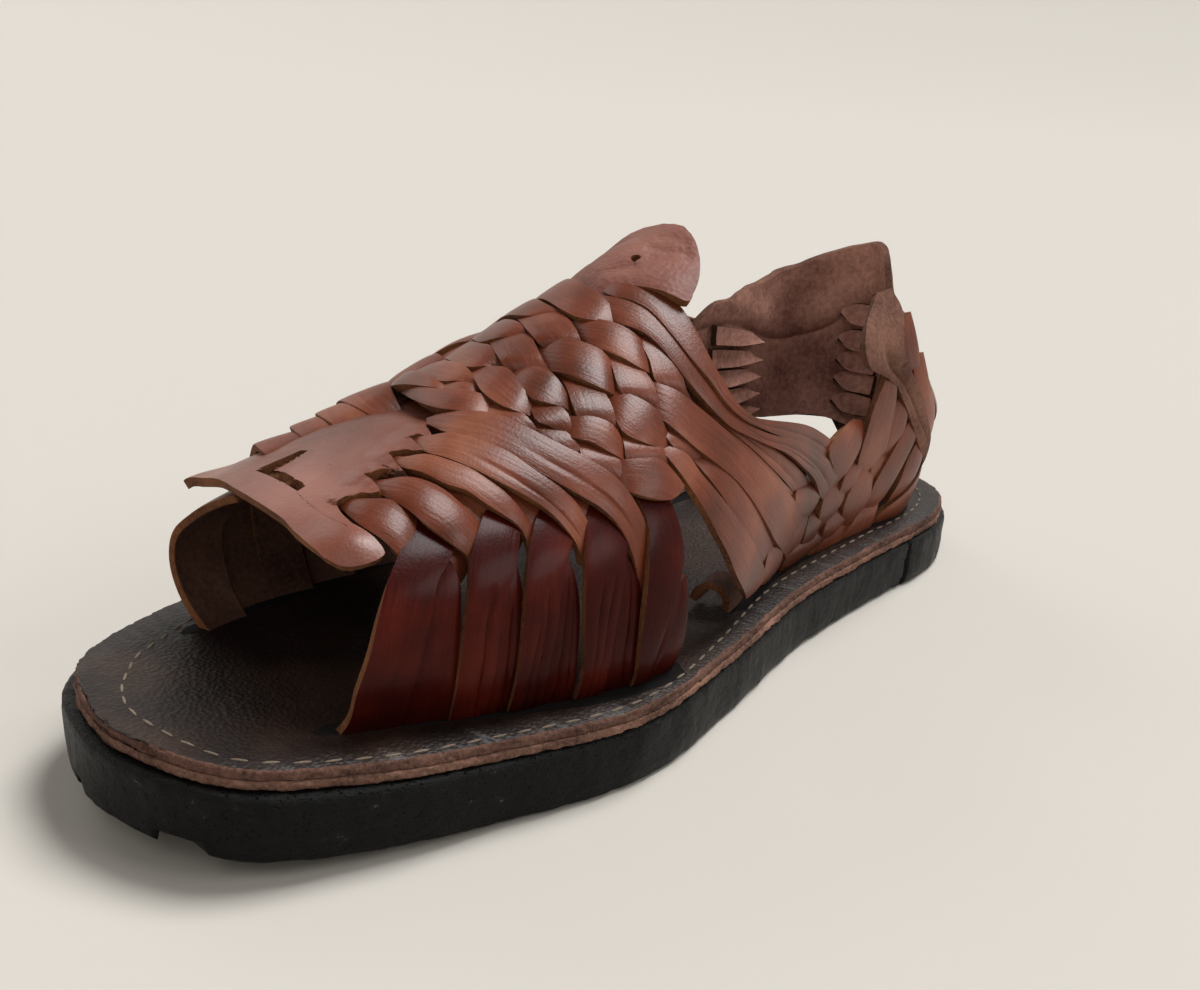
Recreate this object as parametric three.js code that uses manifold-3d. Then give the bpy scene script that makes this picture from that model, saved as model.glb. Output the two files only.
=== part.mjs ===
// A woven leather sandal for the left foot: one long strap plaited over a slotted toe plate and
// round a heel counter, its turns let into a stitched leather sole on a rubber tread.
// Millimetres, +Z up. The toe points to -Y and the outer side of the foot to +X.
// The origin is on the floor under the middle of the shoe.
import * as THREE from "three";
import { mergeVertices } from "three/addons/utils/BufferGeometryUtils.js";
import Module from "manifold-3d";

const wasm = await Module();
wasm.setup();

// Driving dimensions
const SOLE_LENGTH = 285;
const RUBBER_THICK = 14;
const LEATHER_THICK = 1.9; // each of the two leather layers
const GAP = 0.3; // between pieces that lie on each other
const TOE_LIFT = 6; // toe spring at the very tip
const LIFT_FROM = 0.66; // share of the length, from the heel, where the toe spring starts
const STRAP_WIDTH = 10;
const QUARTER_WIDTH = 8.5; // straps that run back from the plait
const BAND_WIDTH = 6.2; // straps beside the counter on the inner side
const PLATE_SHIFT = 0.1; // the plate sits this share of the girth to the inner side
const SLOT_TAPER = 0.6; // share of its width that a strap has where it leaves the plate
const STRAP_THICK = 2;
const STRAP_STEP = 16; // length of a strap's straight facets
const STEP_OVER = 0.8; // how far a strap rises or dips where it crosses another
const PLATE_THICK = 2;
const SLOT_WIDTH = 5.4; // slots in the footbed that take the strap ends
const AXIS_X = -1.6; // X of the line from heel to toe, so that the sole's widest points lie evenly about the origin
const HEEL_CENTRE = 95; // Y of the axis that the heel's sections turn about
const HEEL_ARC = 50; // stations in the quarter turn from the side to the back of the heel
const HEEL_BACK = HEEL_CENTRE + HEEL_ARC; // station of the middle of the back
const GIRTH = 88; // usual length of a half section, from the ridge to the sole
const PLAIT_SLOPE = 37; // stations that a plaited strap gains from the ridge to the sole

const HALF_LENGTH = SOLE_LENGTH / 2;
const MIDSOLE_Z = RUBBER_THICK + GAP;
const INSOLE_Z = MIDSOLE_Z + LEATHER_THICK + GAP;
const FOOTBED_Z = INSOLE_Z + LEATHER_THICK;
const UNDER_PLATE = -(PLATE_THICK + STRAP_THICK) / 2 - GAP;

// Sole outline: half widths at shares of the length from the heel
const SOLE = [
  { share: 0.03, outer: 22, inner: 20 },
  { share: 0.1, outer: 33, inner: 33 },
  { share: 0.25, outer: 36.5, inner: 34 },
  { share: 0.4, outer: 40.5, inner: 32 },
  { share: 0.55, outer: 50, inner: 40 },
  { share: 0.68, outer: 55.5, inner: 49.5 },
  { share: 0.8, outer: 47.5, inner: 52 },
  { share: 0.9, outer: 38.5, inner: 43 },
  { share: 0.97, outer: 26.5, inner: 28.5 },
];

// Sections of the last. A half section is one Bezier arc: from the foot line at the sole, out to the
// belly, over the shoulder to the top. Stations are Y up to HEEL_CENTRE, then they turn round the heel.
const SECTIONS = [
  { at: -112, outFoot: 23, outBelly: 36, inFoot: 30, inBelly: 57, rise: 24, shoulder: 32, level: 55, top: 0, height: 55 },
  { at: -106, outFoot: 25, outBelly: 38, inFoot: 32, inBelly: 58, rise: 24, shoulder: 33, level: 57.5, top: 0, height: 57.5 },
  { at: -75, outFoot: 37, outBelly: 51, inFoot: 39, inBelly: 58, rise: 24, shoulder: 34, level: 68.5, top: 0, height: 68.5 },
  { at: -35, outFoot: 46, outBelly: 61, inFoot: 40, inBelly: 58, rise: 24, shoulder: 34, level: 84.5, top: 0, height: 84.5 },
  { at: 0, outFoot: 38, outBelly: 55, inFoot: 31, inBelly: 50, rise: 24, shoulder: 31, level: 99, top: 0, height: 99 },
  { at: 30, outFoot: 29, outBelly: 45, inFoot: 25, inBelly: 42, rise: 26, shoulder: 30, level: 112, top: 0, height: 112 },
  { at: 60, outFoot: 26, outBelly: 37, inFoot: 25, inBelly: 37, rise: 28, shoulder: 31, level: 95, top: 12, height: 115 },
  { at: 95, outFoot: 25.5, outBelly: 34, inFoot: 25.5, inBelly: 34, rise: 28, shoulder: 33, level: 72, top: 24, height: 100 },
  { at: 145, outFoot: 28, outBelly: 35, inFoot: 28, inBelly: 35, rise: 28, shoulder: 32, level: 72, top: 25, height: 100 },
];

// Toe fan, on each side: an upright strap from the sole, and a strap from a slot in the plate that
// crosses the upright before it, tucks behind its own upright and goes down beside it.
// Places are station and height, where height runs from 0 at the sole to 1 on the ridge.
const FAN = [
  { foot: -101.5, top: -91, topUp: 0.66, slot: -97, slotUp: 0.88, bend: -93, bendUp: 0.77, tuck: -92.5, tuckUp: 0.6, second: -89 },
  { foot: -81.5, top: -74, topUp: 0.62, slot: -89, slotUp: 0.9, bend: -84, bendUp: 0.76, tuck: -80, tuckUp: 0.56, second: -74 },
  { foot: -67, top: -63, topUp: 0.56, slot: -81, slotUp: 0.92, bend: -75, bendUp: 0.77, tuck: -65, tuckUp: 0.52, second: -60.5 },
  { foot: -53, top: -53.5, topUp: 0.54, slot: -74.5, slotUp: 0.94, bend: -69, bendUp: 0.79, tuck: -56, tuckUp: 0.5, second: -46 },
  { foot: -39, top: -40, topUp: 0.5, slot: -67.5, slotUp: 0.95, bend: -63, bendUp: 0.8, tuck: -49, tuckUp: 0.46, second: -36 },
];

// Plait over the instep: where the straps from the outer uprights cross the ridge
const LEADING = [-58, -45, -32.5, -20];

// Straps of the other direction: the ridge crossing, how far down the plait goes, then five places as the
// strap sweeps back over the quarter to its seat in the sole.
const QUARTER = [
  { ridge: -55, plait: 0.4, a: -35, aUp: 0.52, b: -31, bUp: 0.43, c: -22, cUp: 0.29, d: 0, dUp: 0.08, seat: 6, seatUp: -0.02 },
  { ridge: -46.5, plait: 0.4, a: -29, aUp: 0.51, b: -19, bUp: 0.38, c: -4, cUp: 0.24, d: 20, dUp: 0.07, seat: 27, seatUp: -0.02 },
  { ridge: -38.5, plait: 0.3, a: -25, aUp: 0.66, b: -16, bUp: 0.52, c: -3, cUp: 0.36, d: 25, dUp: 0.18, seat: 52, seatUp: -0.02 },
  { ridge: -31, plait: 0.3, a: -18, aUp: 0.64, b: -6, bUp: 0.48, c: 18, cUp: 0.33, d: 48, dUp: 0.2, seat: 78, seatUp: -0.02 },
  { ridge: -24, plait: 0.2, a: -17, aUp: 0.77, b: -13, bUp: 0.61, c: 5, cUp: 0.46, d: 33, dUp: 0.31, seat: 92, seatUp: 0.06 },
  { ridge: -17, plait: 0.12, a: -13, aUp: 0.84, b: -11, bUp: 0.68, c: -1, cUp: 0.53, d: 25, dUp: 0.38, seat: 100, seatUp: 0.16 },
  { ridge: -11, plait: 0.06, a: -9, aUp: 0.8, b: -6, bUp: 0.64, c: 3, cUp: 0.52, d: 32, dUp: 0.38, seat: 108, seatUp: 0.26 },
];

// Heel straps: from a seat in the sole up and back to the counter. The first two leave the collar instead.
const HEEL = [
  { foot: 36, footUp: 0.37, a: 54, aUp: 0.37, b: 72, bUp: 0.43, end: 92, endUp: 0.52 },
  { foot: 34, footUp: 0.22, a: 54, aUp: 0.26, b: 74, bUp: 0.34, end: 100, endUp: 0.46 },
  { foot: 40, footUp: -0.02, a: 58, aUp: 0.14, b: 80, bUp: 0.27, end: 112, endUp: 0.42 },
  { foot: 60, footUp: -0.02, a: 76, aUp: 0.12, b: 98, bUp: 0.24, end: 128, endUp: 0.36 },
  { foot: 82, footUp: -0.02, a: 98, aUp: 0.11, b: 118, bUp: 0.2, end: 146, endUp: 0.27 },
];

// Bands along the inner side of the heel, outside the counter: height, and where a band starts that is not
// the end of a plaited strap
const BANDS = [
  { up: 0.24, start: 20, startUp: 0.22 },
  { up: 0.32, start: 0, startUp: 0.33 },
  { up: 0.4 },
  { up: 0.48, start: 2, startUp: 0.47 },
  { up: 0.56 },
];

// Heel counter from its inner front end round the back to the outer side: lower and upper edge at each
// station, and how far the upper edge leans in
const COUNTER = [
  { side: -1, at: 64, low: 0.38, high: 0.55, lean: 0 },
  { side: -1, at: 72, low: 0.25, high: 0.63, lean: 0 },
  { side: -1, at: 82, low: 0.19, high: 0.71, lean: 0 },
  { side: -1, at: 96, low: 0.175, high: 0.81, lean: 0 },
  { side: -1, at: 112, low: 0.165, high: 0.87, lean: 0 },
  { side: -1, at: 128, low: 0.155, high: 0.92, lean: 0 },
  { side: -1, at: 144, low: 0.15, high: 0.95, lean: 3 },
  { side: 1, at: 138, low: 0.15, high: 0.91, lean: 4 },
  { side: 1, at: 127, low: 0.175, high: 0.82, lean: 1 },
  { side: 1, at: 116, low: 0.2, high: 0.76, lean: 0 },
  { side: 1, at: 105, low: 0.205, high: 0.73, lean: 0 },
  { side: 1, at: 92, low: 0.22, high: 0.76, lean: 0 },
  { side: 1, at: 82, low: 0.27, high: 0.78, lean: 0 },
  { side: 1, at: 72, low: 0.35, high: 0.71, lean: 0 },
  { side: 1, at: 60, low: 0.45, high: 0.57, lean: 0 },
];

// Toe plate, its neck under the plait, and the tongue: outer and inner edge as girth, and height over the last
const PLATE = [
  { at: -109, outer: 0.27, inner: 0.34, over: 0 },
  { at: -106, outer: 0.33, inner: 0.4, over: 0 },
  { at: -98, outer: 0.34, inner: 0.41, over: 0 },
  { at: -94, outer: 0.2, inner: 0.36, over: 0 },
  { at: -86, outer: 0.16, inner: 0.31, over: 0 },
  { at: -78, outer: 0.12, inner: 0.26, over: 0 },
  { at: -71, outer: 0.09, inner: 0.22, over: -0.8 },
  { at: -64, outer: 0.08, inner: 0.16, over: -4.6 },
  { at: -50, outer: 0.09, inner: 0.12, over: -5 },
  { at: -14, outer: 0.14, inner: 0.14, over: -5 },
  { at: -5, outer: 0.17, inner: 0.2, over: -4.2 },
  { at: 3, outer: 0.17, inner: 0.24, over: -2.8 },
  { at: 8, outer: 0.135, inner: 0.26, over: -2.2 },
  { at: 16, outer: 0.03, inner: 0.27, over: -2 },
  { at: 20, outer: -0.045, inner: 0.25, over: -2.4 },
  { at: 23, outer: -0.11, inner: 0.2, over: -3 },
];

// Grooves across the underside of the rubber: lug gaps at the toe and the joint of the heel piece
const GROOVES = [
  { at: -138, width: 4, depth: 4 },
  { at: -131, width: 3, depth: 3.5 },
  { at: -122, width: 3, depth: 3 },
  { at: 92, width: 1.2, depth: 8 },
];

// Two slits that leave a square tab in the toe plate
const WINDOW = { x: -12, y: -92, width: 16, length: 12, slit: 1.4 };

// Hole in the tongue
const HOLE = { x: -8.4, y: 5.5 };

// Slots in the footbed along the foot line: side, and the stations between which they run
const SLOTS = [
  { side: 1, from: -110, to: -28 },
  { side: -1, from: -110, to: -28 },
  { side: 1, from: -1, to: 94 },
  { side: -1, from: -1, to: 60 },
];

// A value of the section table at a station, on a smooth curve through the rows.
function sectionAt(station) {
  const last = SECTIONS.length - 1;
  let i = SECTIONS.findIndex((row) => row.at > station) - 1;
  if (i < 0) i = station < SECTIONS[0].at ? 0 : last - 1;
  const slope = (k, name) => (SECTIONS[k + 1][name] - SECTIONS[k][name]) / (SECTIONS[k + 1].at - SECTIONS[k].at);
  const tangent = (k, name) => {
    if (k === 0) return slope(0, name);
    if (k === last) return slope(last - 1, name);
    const before = SECTIONS[k].at - SECTIONS[k - 1].at;
    const after = SECTIONS[k + 1].at - SECTIONS[k].at;
    return (slope(k - 1, name) * after + slope(k, name) * before) / (before + after);
  };
  const [a, b] = [SECTIONS[i], SECTIONS[i + 1]];
  const span = b.at - a.at;
  const t = (station - a.at) / span;
  const value = {};
  for (const name of Object.keys(a)) {
    if (name === "at") continue;
    value[name] =
      (2 * t ** 3 - 3 * t ** 2 + 1) * a[name] +
      (t ** 3 - 2 * t ** 2 + t) * span * tangent(i, name) +
      (3 * t ** 2 - 2 * t ** 3) * b[name] +
      (t ** 3 - t ** 2) * span * tangent(i + 1, name);
  }
  return value;
}

// Height that the toe spring adds at Y.
function toeSpring(y) {
  const share = (HALF_LENGTH - y) / SOLE_LENGTH;
  return TOE_LIFT * THREE.MathUtils.clamp((share - LIFT_FROM) / (1 - LIFT_FROM), 0, 1) ** 2;
}

// Point on the last. Girth runs from 1 at the outer foot line over 0 on the ridge to -1 at the inner foot line.
function formPoint(station, girth) {
  const row = sectionAt(Math.min(station, 2 * HEEL_BACK - station));
  const side = girth < 0 ? -1 : 1;
  const up = 1 - Math.abs(girth);
  const rest = 1 - up;
  const foot = side > 0 ? row.outFoot : row.inFoot;
  const belly = side > 0 ? row.outBelly : row.inBelly;
  const sole = FOOTBED_Z + toeSpring(station);
  const [w0, w1, w2, w3] = [rest ** 3, 3 * rest ** 2 * up, 3 * rest * up ** 2, up ** 3];
  const reach = w0 * foot + w1 * belly + w2 * row.shoulder + w3 * Math.max(row.top, 0);
  const z = w0 * sole + w1 * (sole + row.rise) + w2 * row.level + w3 * row.height;
  const turn = (Math.max(station - HEEL_CENTRE, 0) / HEEL_ARC) * (Math.PI / 2);
  const y = Math.min(station, HEEL_CENTRE) + reach * Math.sin(turn);
  return new THREE.Vector3(AXIS_X + side * reach * Math.cos(turn), y, z);
}

// Outward normal of the last.
function formNormal(station, girth) {
  const along = formPoint(station + 0.5, girth).sub(formPoint(station - 0.5, girth));
  const across = formPoint(station, girth + 0.005).sub(formPoint(station, girth - 0.005));
  return across.cross(along).normalize();
}

// Closed geometry through rings of equal count, with flat ends.
function loft(rings) {
  const count = rings[0].length;
  const index = [];
  for (let r = 0; r + 1 < rings.length; r++)
    for (let i = 0; i < count; i++) {
      const [a, b] = [r * count + i, r * count + ((i + 1) % count)];
      index.push(a, b, b + count, a, b + count, a + count);
    }
  const end = (rings.length - 1) * count;
  for (let i = 1; i + 1 < count; i++) index.push(0, i + 1, i, end, end + i, end + i + 1);
  const geometry = new THREE.BufferGeometry().setFromPoints(rings.flat());
  return geometry.setIndex(index);
}

// Solid of a closed geometry, turned the right way out.
function solidOf(geometry) {
  const bare = geometry.clone();
  for (const name of Object.keys(bare.attributes)) if (name !== "position") bare.deleteAttribute(name);
  const merged = mergeVertices(bare, 1e-4);
  const build = (triVerts) =>
    new wasm.Manifold(new wasm.Mesh({ numProp: 3, vertProperties: merged.attributes.position.array, triVerts }));
  const made = build(new Uint32Array(merged.index.array));
  return made.volume() > 0 ? made : build(new Uint32Array(merged.index.array).reverse());
}

const joined = (solids) => solids.reduce((a, b) => a.add(b));

// Mesh of a solid.
function meshOf(name, solid, material) {
  const { vertProperties, triVerts, numProp, numVert } = solid.getMesh();
  const points = new Float32Array(numVert * 3);
  for (let i = 0; i < numVert; i++) points.set(vertProperties.subarray(i * numProp, i * numProp + 3), i * 3);
  const geometry = new THREE.BufferGeometry();
  geometry.setAttribute("position", new THREE.BufferAttribute(points, 3));
  geometry.setIndex(new THREE.BufferAttribute(triVerts, 1));
  geometry.computeVertexNormals();
  const mesh = new THREE.Mesh(geometry, material);
  mesh.name = name;
  return mesh;
}

// Strap along places on the last, each {station, girth, over}: over is its height above the last.
// Its faces are moved out by grow, and taper narrows its first two facets.
function strap({ places, width = STRAP_WIDTH, taper = 1 }, grow) {
  const route = new THREE.CatmullRomCurve3(
    places.map((p) => new THREE.Vector3(p.station, p.girth * GIRTH, p.over ?? 0)),
    false,
    "centripetal",
  );
  const spots = route.getSpacedPoints(Math.max(3, Math.round(route.getLength() / STRAP_STEP)));
  const centres = spots.map((p) =>
    formPoint(p.x, p.y / GIRTH).addScaledVector(formNormal(p.x, p.y / GIRTH), p.z),
  );
  const rings = centres.map((centre, i) => {
    const normal = formNormal(spots[i].x, spots[i].y / GIRTH);
    const ahead = centres[Math.min(i + 1, centres.length - 1)];
    const along = ahead.clone().sub(centres[Math.max(i - 1, 0)]).normalize();
    const across = normal.clone().cross(along).normalize();
    const up = along.clone().cross(across).normalize();
    const half = (width / 2) * Math.min(1, taper + (i / 2) * (1 - taper));
    const end = i === 0 ? -grow : i === centres.length - 1 ? grow : 0;
    const middle = centre.clone().addScaledVector(along, end);
    const corner = (w, h) =>
      middle.clone().addScaledVector(across, w * (half + grow)).addScaledVector(up, h * (STRAP_THICK / 2 + grow));
    return [corner(1, 1), corner(-1, 1), corner(-1, -1), corner(1, -1)];
  });
  return solidOf(loft(rings));
}

// Thick sheet over the last: rows of places across, each row {station, from, to} in girth, at a height over,
// with its far edge leaning in.
function sheet(rows, across, thick) {
  const face = (row, share, lift) => {
    const girth = THREE.MathUtils.lerp(row.from, row.to, share);
    const height = row.over - row.lean * share ** 2 + lift;
    return formPoint(row.station, girth).addScaledVector(formNormal(row.station, girth), height);
  };
  const shares = Array.from({ length: across + 1 }, (_, i) => i / across);
  const rings = rows.map((row) => [
    ...shares.map((s) => face(row, s, thick / 2)),
    ...shares.toReversed().map((s) => face(row, s, -thick / 2)),
  ]);
  return solidOf(loft(rings));
}

// Point of the sole outline: side 1 is the outer edge, share runs from the heel to the toe.
const OUTLINE = new THREE.CatmullRomCurve3(
  [
    new THREE.Vector3(AXIS_X, HALF_LENGTH, 0),
    ...SOLE.map((row) => new THREE.Vector3(AXIS_X + row.outer, HALF_LENGTH - row.share * SOLE_LENGTH, 0)),
    new THREE.Vector3(AXIS_X, -HALF_LENGTH, 0),
    ...SOLE.toReversed().map((row) => new THREE.Vector3(AXIS_X - row.inner, HALF_LENGTH - row.share * SOLE_LENGTH, 0)),
  ],
  true,
  "centripetal",
);
const outlinePoint = (side, share) => OUTLINE.getPoint(side > 0 ? share / 2 : 1 - share / 2);

// Slab with the sole's outline between two heights, drawn in by inset, following the toe spring.
function soleSlab(low, high, inset, steps) {
  const rings = [];
  for (let i = 0; i <= steps; i++) {
    const share = 0.012 + (0.976 * i) / steps;
    const [outer, inner] = [outlinePoint(1, share), outlinePoint(-1, share)];
    const edge = (p, side, z) => new THREE.Vector3(p.x - side * inset, p.y, z + toeSpring(p.y));
    rings.push([edge(outer, 1, high), edge(inner, -1, high), edge(inner, -1, low), edge(outer, 1, low)]);
  }
  return solidOf(loft(rings));
}

// Cutter for a slot in the footbed that follows the foot line of the last.
function slotTool(row) {
  const count = Math.ceil((row.to - row.from) / 20);
  const rings = Array.from({ length: count + 1 }, (_, i) => {
    const station = THREE.MathUtils.lerp(row.from, row.to, i / count);
    const foot = formPoint(station, row.side);
    const along = formPoint(station + 0.5, row.side).sub(formPoint(station - 0.5, row.side)).setZ(0).normalize();
    const out = new THREE.Vector3(along.y, -along.x, 0).multiplyScalar(SLOT_WIDTH / 2);
    const corner = (sign, z) => foot.clone().addScaledVector(out, sign).add(new THREE.Vector3(0, 0, z));
    return [corner(1, 3), corner(-1, 3), corner(-1, -6), corner(1, -6)];
  });
  return solidOf(loft(rings));
}

// Box of a size with its centre at a place.
function box(width, depth, height, x, y, z) {
  return solidOf(new THREE.BoxGeometry(width, depth, height).translate(x, y, z));
}

// Rubber tread: a slab with lug grooves across the toe and a joint near the heel.
function outsole() {
  const groove = (row) => box(2 * SOLE_LENGTH, row.width, row.depth, 0, row.at, toeSpring(row.at) + row.depth / 2 - 1);
  return GROOVES.reduce((slab, row) => slab.subtract(groove(row)), soleSlab(0, RUBBER_THICK, 0, 30));
}

const at = (station, up, side, over = 0) => ({ station, girth: side * (1 - up), over });

const leather = new THREE.MeshStandardMaterial({ color: 0x6f4030, roughness: 0.42, metalness: 0 });
const plateLeather = new THREE.MeshStandardMaterial({ color: 0x6a3c30, roughness: 0.45, metalness: 0 });
const counterLeather = new THREE.MeshStandardMaterial({ color: 0x6b4638, roughness: 0.7, metalness: 0 });
const footbedLeather = new THREE.MeshStandardMaterial({ color: 0x2c211d, roughness: 0.55, metalness: 0 });
const rawLeather = new THREE.MeshStandardMaterial({ color: 0x7a5346, roughness: 0.9, metalness: 0 });
const rubber = new THREE.MeshStandardMaterial({ color: 0x17191a, roughness: 0.6, metalness: 0 });

const SINK = -0.02; // height of a strap's end, let into the footbed

// Upright strap k of the toe fan, from the sole to its top, passing over its own second strap.
function upright(k, side) {
  const row = FAN[k];
  return [
    at(row.foot, SINK, side),
    at(row.foot, 0.15, side, STEP_OVER),
    at((row.foot + row.top) / 2 - 2, 0.36, side, STEP_OVER),
    at(row.top, row.topUp, side, -STEP_OVER),
  ];
}

// Strap from plate slot k, over the upright before it and behind its own upright to the sole.
function slotStrap(k, side) {
  const row = FAN[k];
  const shift = side < 0 ? PLATE_SHIFT : 0;
  return [
    at(row.slot, row.slotUp - shift, side, 0),
    at(row.bend, row.bendUp - shift / 2, side, STEP_OVER),
    at(row.tuck, row.tuckUp, side, 0),
    at((row.tuck + row.second) / 2 + 1, 0.34, side, -STEP_OVER),
    at(row.second, 0.16, side, -STEP_OVER / 2),
    at(row.second, SINK, side),
  ];
}

// Places where a plaited strap crosses the straps of the other direction, over and under by turns.
function plaitCrossings(own, index, others, side, reach) {
  return others
    .map((other, j) => ({
      girth: (side * (other - own)) / (2 * PLAIT_SLOPE),
      station: (own + other) / 2,
      over: ((index + j) % 2 ? side : -side) * STEP_OVER,
    }))
    .filter((p) => side * p.girth < reach && side * p.girth > -0.42)
    .sort((a, b) => side * (a.girth - b.girth));
}

// Quarter strap j from the edge of the plait to its seat.
function quarter(j, side) {
  const row = QUARTER[j];
  const turn = j % 2 ? 1 : -1;
  return [
    at(row.a, row.aUp, side, turn * STEP_OVER),
    at(row.b, row.bUp, side, 0),
    at(row.c, row.cUp, side, -turn * STEP_OVER),
    at(row.d, row.dUp, side, turn * STEP_OVER),
    at(row.seat, row.seatUp, side, row.seatUp < 0 ? 0 : -STEP_OVER),
  ];
}

// Band k beside the counter, from the inner quarter to the back of the heel.
function band(k) {
  const { up } = BANDS[k];
  return [at(50, up, -1), at(90, up, -1), at(HEEL_BACK + 10, up - 0.07, -1)];
}

// Routes of all the straps, each with its places on the last
const routes = [];
for (const side of [1, -1]) {
  routes.push({ places: [...upright(0, side), at(-84, 0.8, side, UNDER_PLATE)] });
  FAN.forEach((row, k) => routes.push({ places: slotStrap(k, side), taper: SLOT_TAPER }));
}
const trailing = QUARTER.map((row) => row.ridge);
LEADING.forEach((ridge, i) => {
  const crossings = plaitCrossings(ridge, i, trailing, -1, 0.3);
  const back = i < 2 ? quarter(i * 2, -1) : [...quarter(i * 2, -1).slice(0, 3), ...band(i * 2 - 2)];
  routes.push({ places: [...upright(i + 1, 1), ...crossings, ...back], width: QUARTER_WIDTH });
});
QUARTER.forEach((row, j) => {
  const crossings = plaitCrossings(row.ridge, j, LEADING, 1, row.plait);
  const start = j % 2 === 0 && FAN[j / 2 + 1] ? upright(j / 2 + 1, -1) : [at(row.ridge - 14, 0.6, -1, -STEP_OVER)];
  routes.push({ places: [...start, ...crossings, ...quarter(j, 1)], width: QUARTER_WIDTH });
});
for (const j of [1, 3]) {
  const { ridge, edge } = { ridge: QUARTER[j].ridge, edge: at(QUARTER[j].ridge, 0.9, 1, -STEP_OVER) };
  routes.push({ places: [edge, at(ridge + 6, 0.86, -1, 0), ...quarter(j, -1)], width: QUARTER_WIDTH });
}
HEEL.forEach((row, k) => {
  const turn = k % 2 ? 1 : -1;
  const places = [
    at(row.foot, row.footUp, 1, row.footUp < 0 ? 0 : -STEP_OVER),
    at(row.a, row.aUp, 1, turn * STEP_OVER),
    at(row.b, row.bUp, 1, -turn * STEP_OVER),
    at(row.end, row.endUp, 1, 0),
  ];
  routes.push({ places });
});
BANDS.forEach((row, k) => {
  if (row.start === undefined) return;
  routes.push({ places: [at(row.start, row.startUp, -1), ...band(k)], width: BAND_WIDTH });
});

// The largest closed skin of a solid, without the slivers that a cut leaves or pockets sealed inside.
const largest = (solid) => solid.decompose().sort((a, b) => b.volume() - a.volume())[0];
const fused = (grow) => largest(joined(routes.map((route) => strap(route, grow))));
const below = soleSlab(-1, INSOLE_Z, -10, 12);
const upper = largest(fused(0).subtract(below));
const upperGrown = fused(GAP);

const plateRows = PLATE.map((row) => ({
  station: row.at,
  from: row.outer,
  to: -row.inner,
  over: row.over,
  lean: 0,
}));
const plate = largest(
  sheet(plateRows, 6, PLATE_THICK)
    .subtract(upperGrown)
    .subtract(box(WINDOW.width, WINDOW.slit, 30, WINDOW.x, WINDOW.y - WINDOW.length / 2, 60))
    .subtract(box(WINDOW.slit, WINDOW.length, 30, WINDOW.x + WINDOW.width / 2, WINDOW.y, 60))
    .subtract(solidOf(new THREE.CylinderGeometry(1.6, 1.6, 40, 16).rotateX(Math.PI / 2).translate(HOLE.x, HOLE.y, 95))),
);

const counterRows = COUNTER.map((row) => ({
  station: row.at,
  from: row.side * (1 - row.low),
  to: row.side * (1 - row.high),
  over: UNDER_PLATE - 1.2,
  lean: row.lean,
}));
const counter = largest(sheet(counterRows, 5, PLATE_THICK).subtract(upperGrown));

const root = new THREE.Group();
root.add(meshOf("upper_weave", upper, leather));
root.add(meshOf("vamp_plate", plate, plateLeather));
root.add(meshOf("heel_counter", counter, counterLeather));
root.add(meshOf("outsole", outsole(), rubber));
root.add(meshOf("midsole", soleSlab(MIDSOLE_Z, MIDSOLE_Z + LEATHER_THICK, 0.5, 30), rawLeather));
const footbed = SLOTS.reduce(
  (slab, row) => slab.subtract(slotTool(row)),
  soleSlab(INSOLE_Z, FOOTBED_Z, 1, 30),
).subtract(upperGrown);
root.add(meshOf("insole", largest(footbed), footbedLeather));
export default root;
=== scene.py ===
"""Looks of a woven leather sandal for the left foot, around its fixed frame.

Sizes are in millimetres in the tables and become metres as each mesh is made.
The toe points to -Y, the outer side of the foot to +X, and +Z is up.
"""

import math

import bmesh
import bpy
import numpy as np
from mathutils import Matrix, Vector, noise
from mathutils.geometry import intersect_point_line


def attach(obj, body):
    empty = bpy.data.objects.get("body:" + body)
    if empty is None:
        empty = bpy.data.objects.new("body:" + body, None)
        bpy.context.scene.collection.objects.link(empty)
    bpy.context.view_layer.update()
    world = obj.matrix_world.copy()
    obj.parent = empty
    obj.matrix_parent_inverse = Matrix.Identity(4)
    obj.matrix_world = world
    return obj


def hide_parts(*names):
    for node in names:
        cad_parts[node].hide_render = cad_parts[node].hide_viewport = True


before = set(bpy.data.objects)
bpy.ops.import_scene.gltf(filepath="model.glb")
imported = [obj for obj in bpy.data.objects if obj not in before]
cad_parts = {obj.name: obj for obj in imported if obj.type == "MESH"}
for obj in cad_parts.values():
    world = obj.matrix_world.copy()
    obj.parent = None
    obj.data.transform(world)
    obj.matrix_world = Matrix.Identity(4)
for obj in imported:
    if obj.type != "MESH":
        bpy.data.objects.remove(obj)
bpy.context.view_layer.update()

# Driving sizes
MM = 0.001
SOLE_LENGTH = 285
RUBBER_THICK = 14
LEATHER_THICK = 1.9
GAP = 0.3
TOE_LIFT = 6
LIFT_FROM = 0.66  # share of the length from the heel where the toe spring begins
STRAP_THICK = 1.9
STEP_OVER = 1.05  # how far a strap rises or dips where it crosses another
AXIS_X = -1.6
HEEL_CENTRE = 95
HEEL_ARC = 50
HEEL_BACK = HEEL_CENTRE + HEEL_ARC
GIRTH = 88  # millimetres from the ridge to either foot line in the flat patterns
PLAIT_SLOPE = 37  # millimetres along the foot that a plaited strap runs over one girth
HALF_LENGTH = SOLE_LENGTH / 2
MIDSOLE_Z = RUBBER_THICK + GAP
INSOLE_Z = MIDSOLE_Z + LEATHER_THICK + GAP
FOOTBED_Z = INSOLE_Z + LEATHER_THICK

# Sole outline: share of the length from the heel, outer and inner half width
SOLE = [
    (0.03, 22, 20),
    (0.10, 33, 33),
    (0.25, 36.5, 34),
    (0.40, 40.5, 32),
    (0.55, 50, 40),
    (0.68, 55.5, 49.5),
    (0.80, 47.5, 52),
    (0.90, 38.5, 43),
    (0.97, 26.5, 28.5),
]

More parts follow.
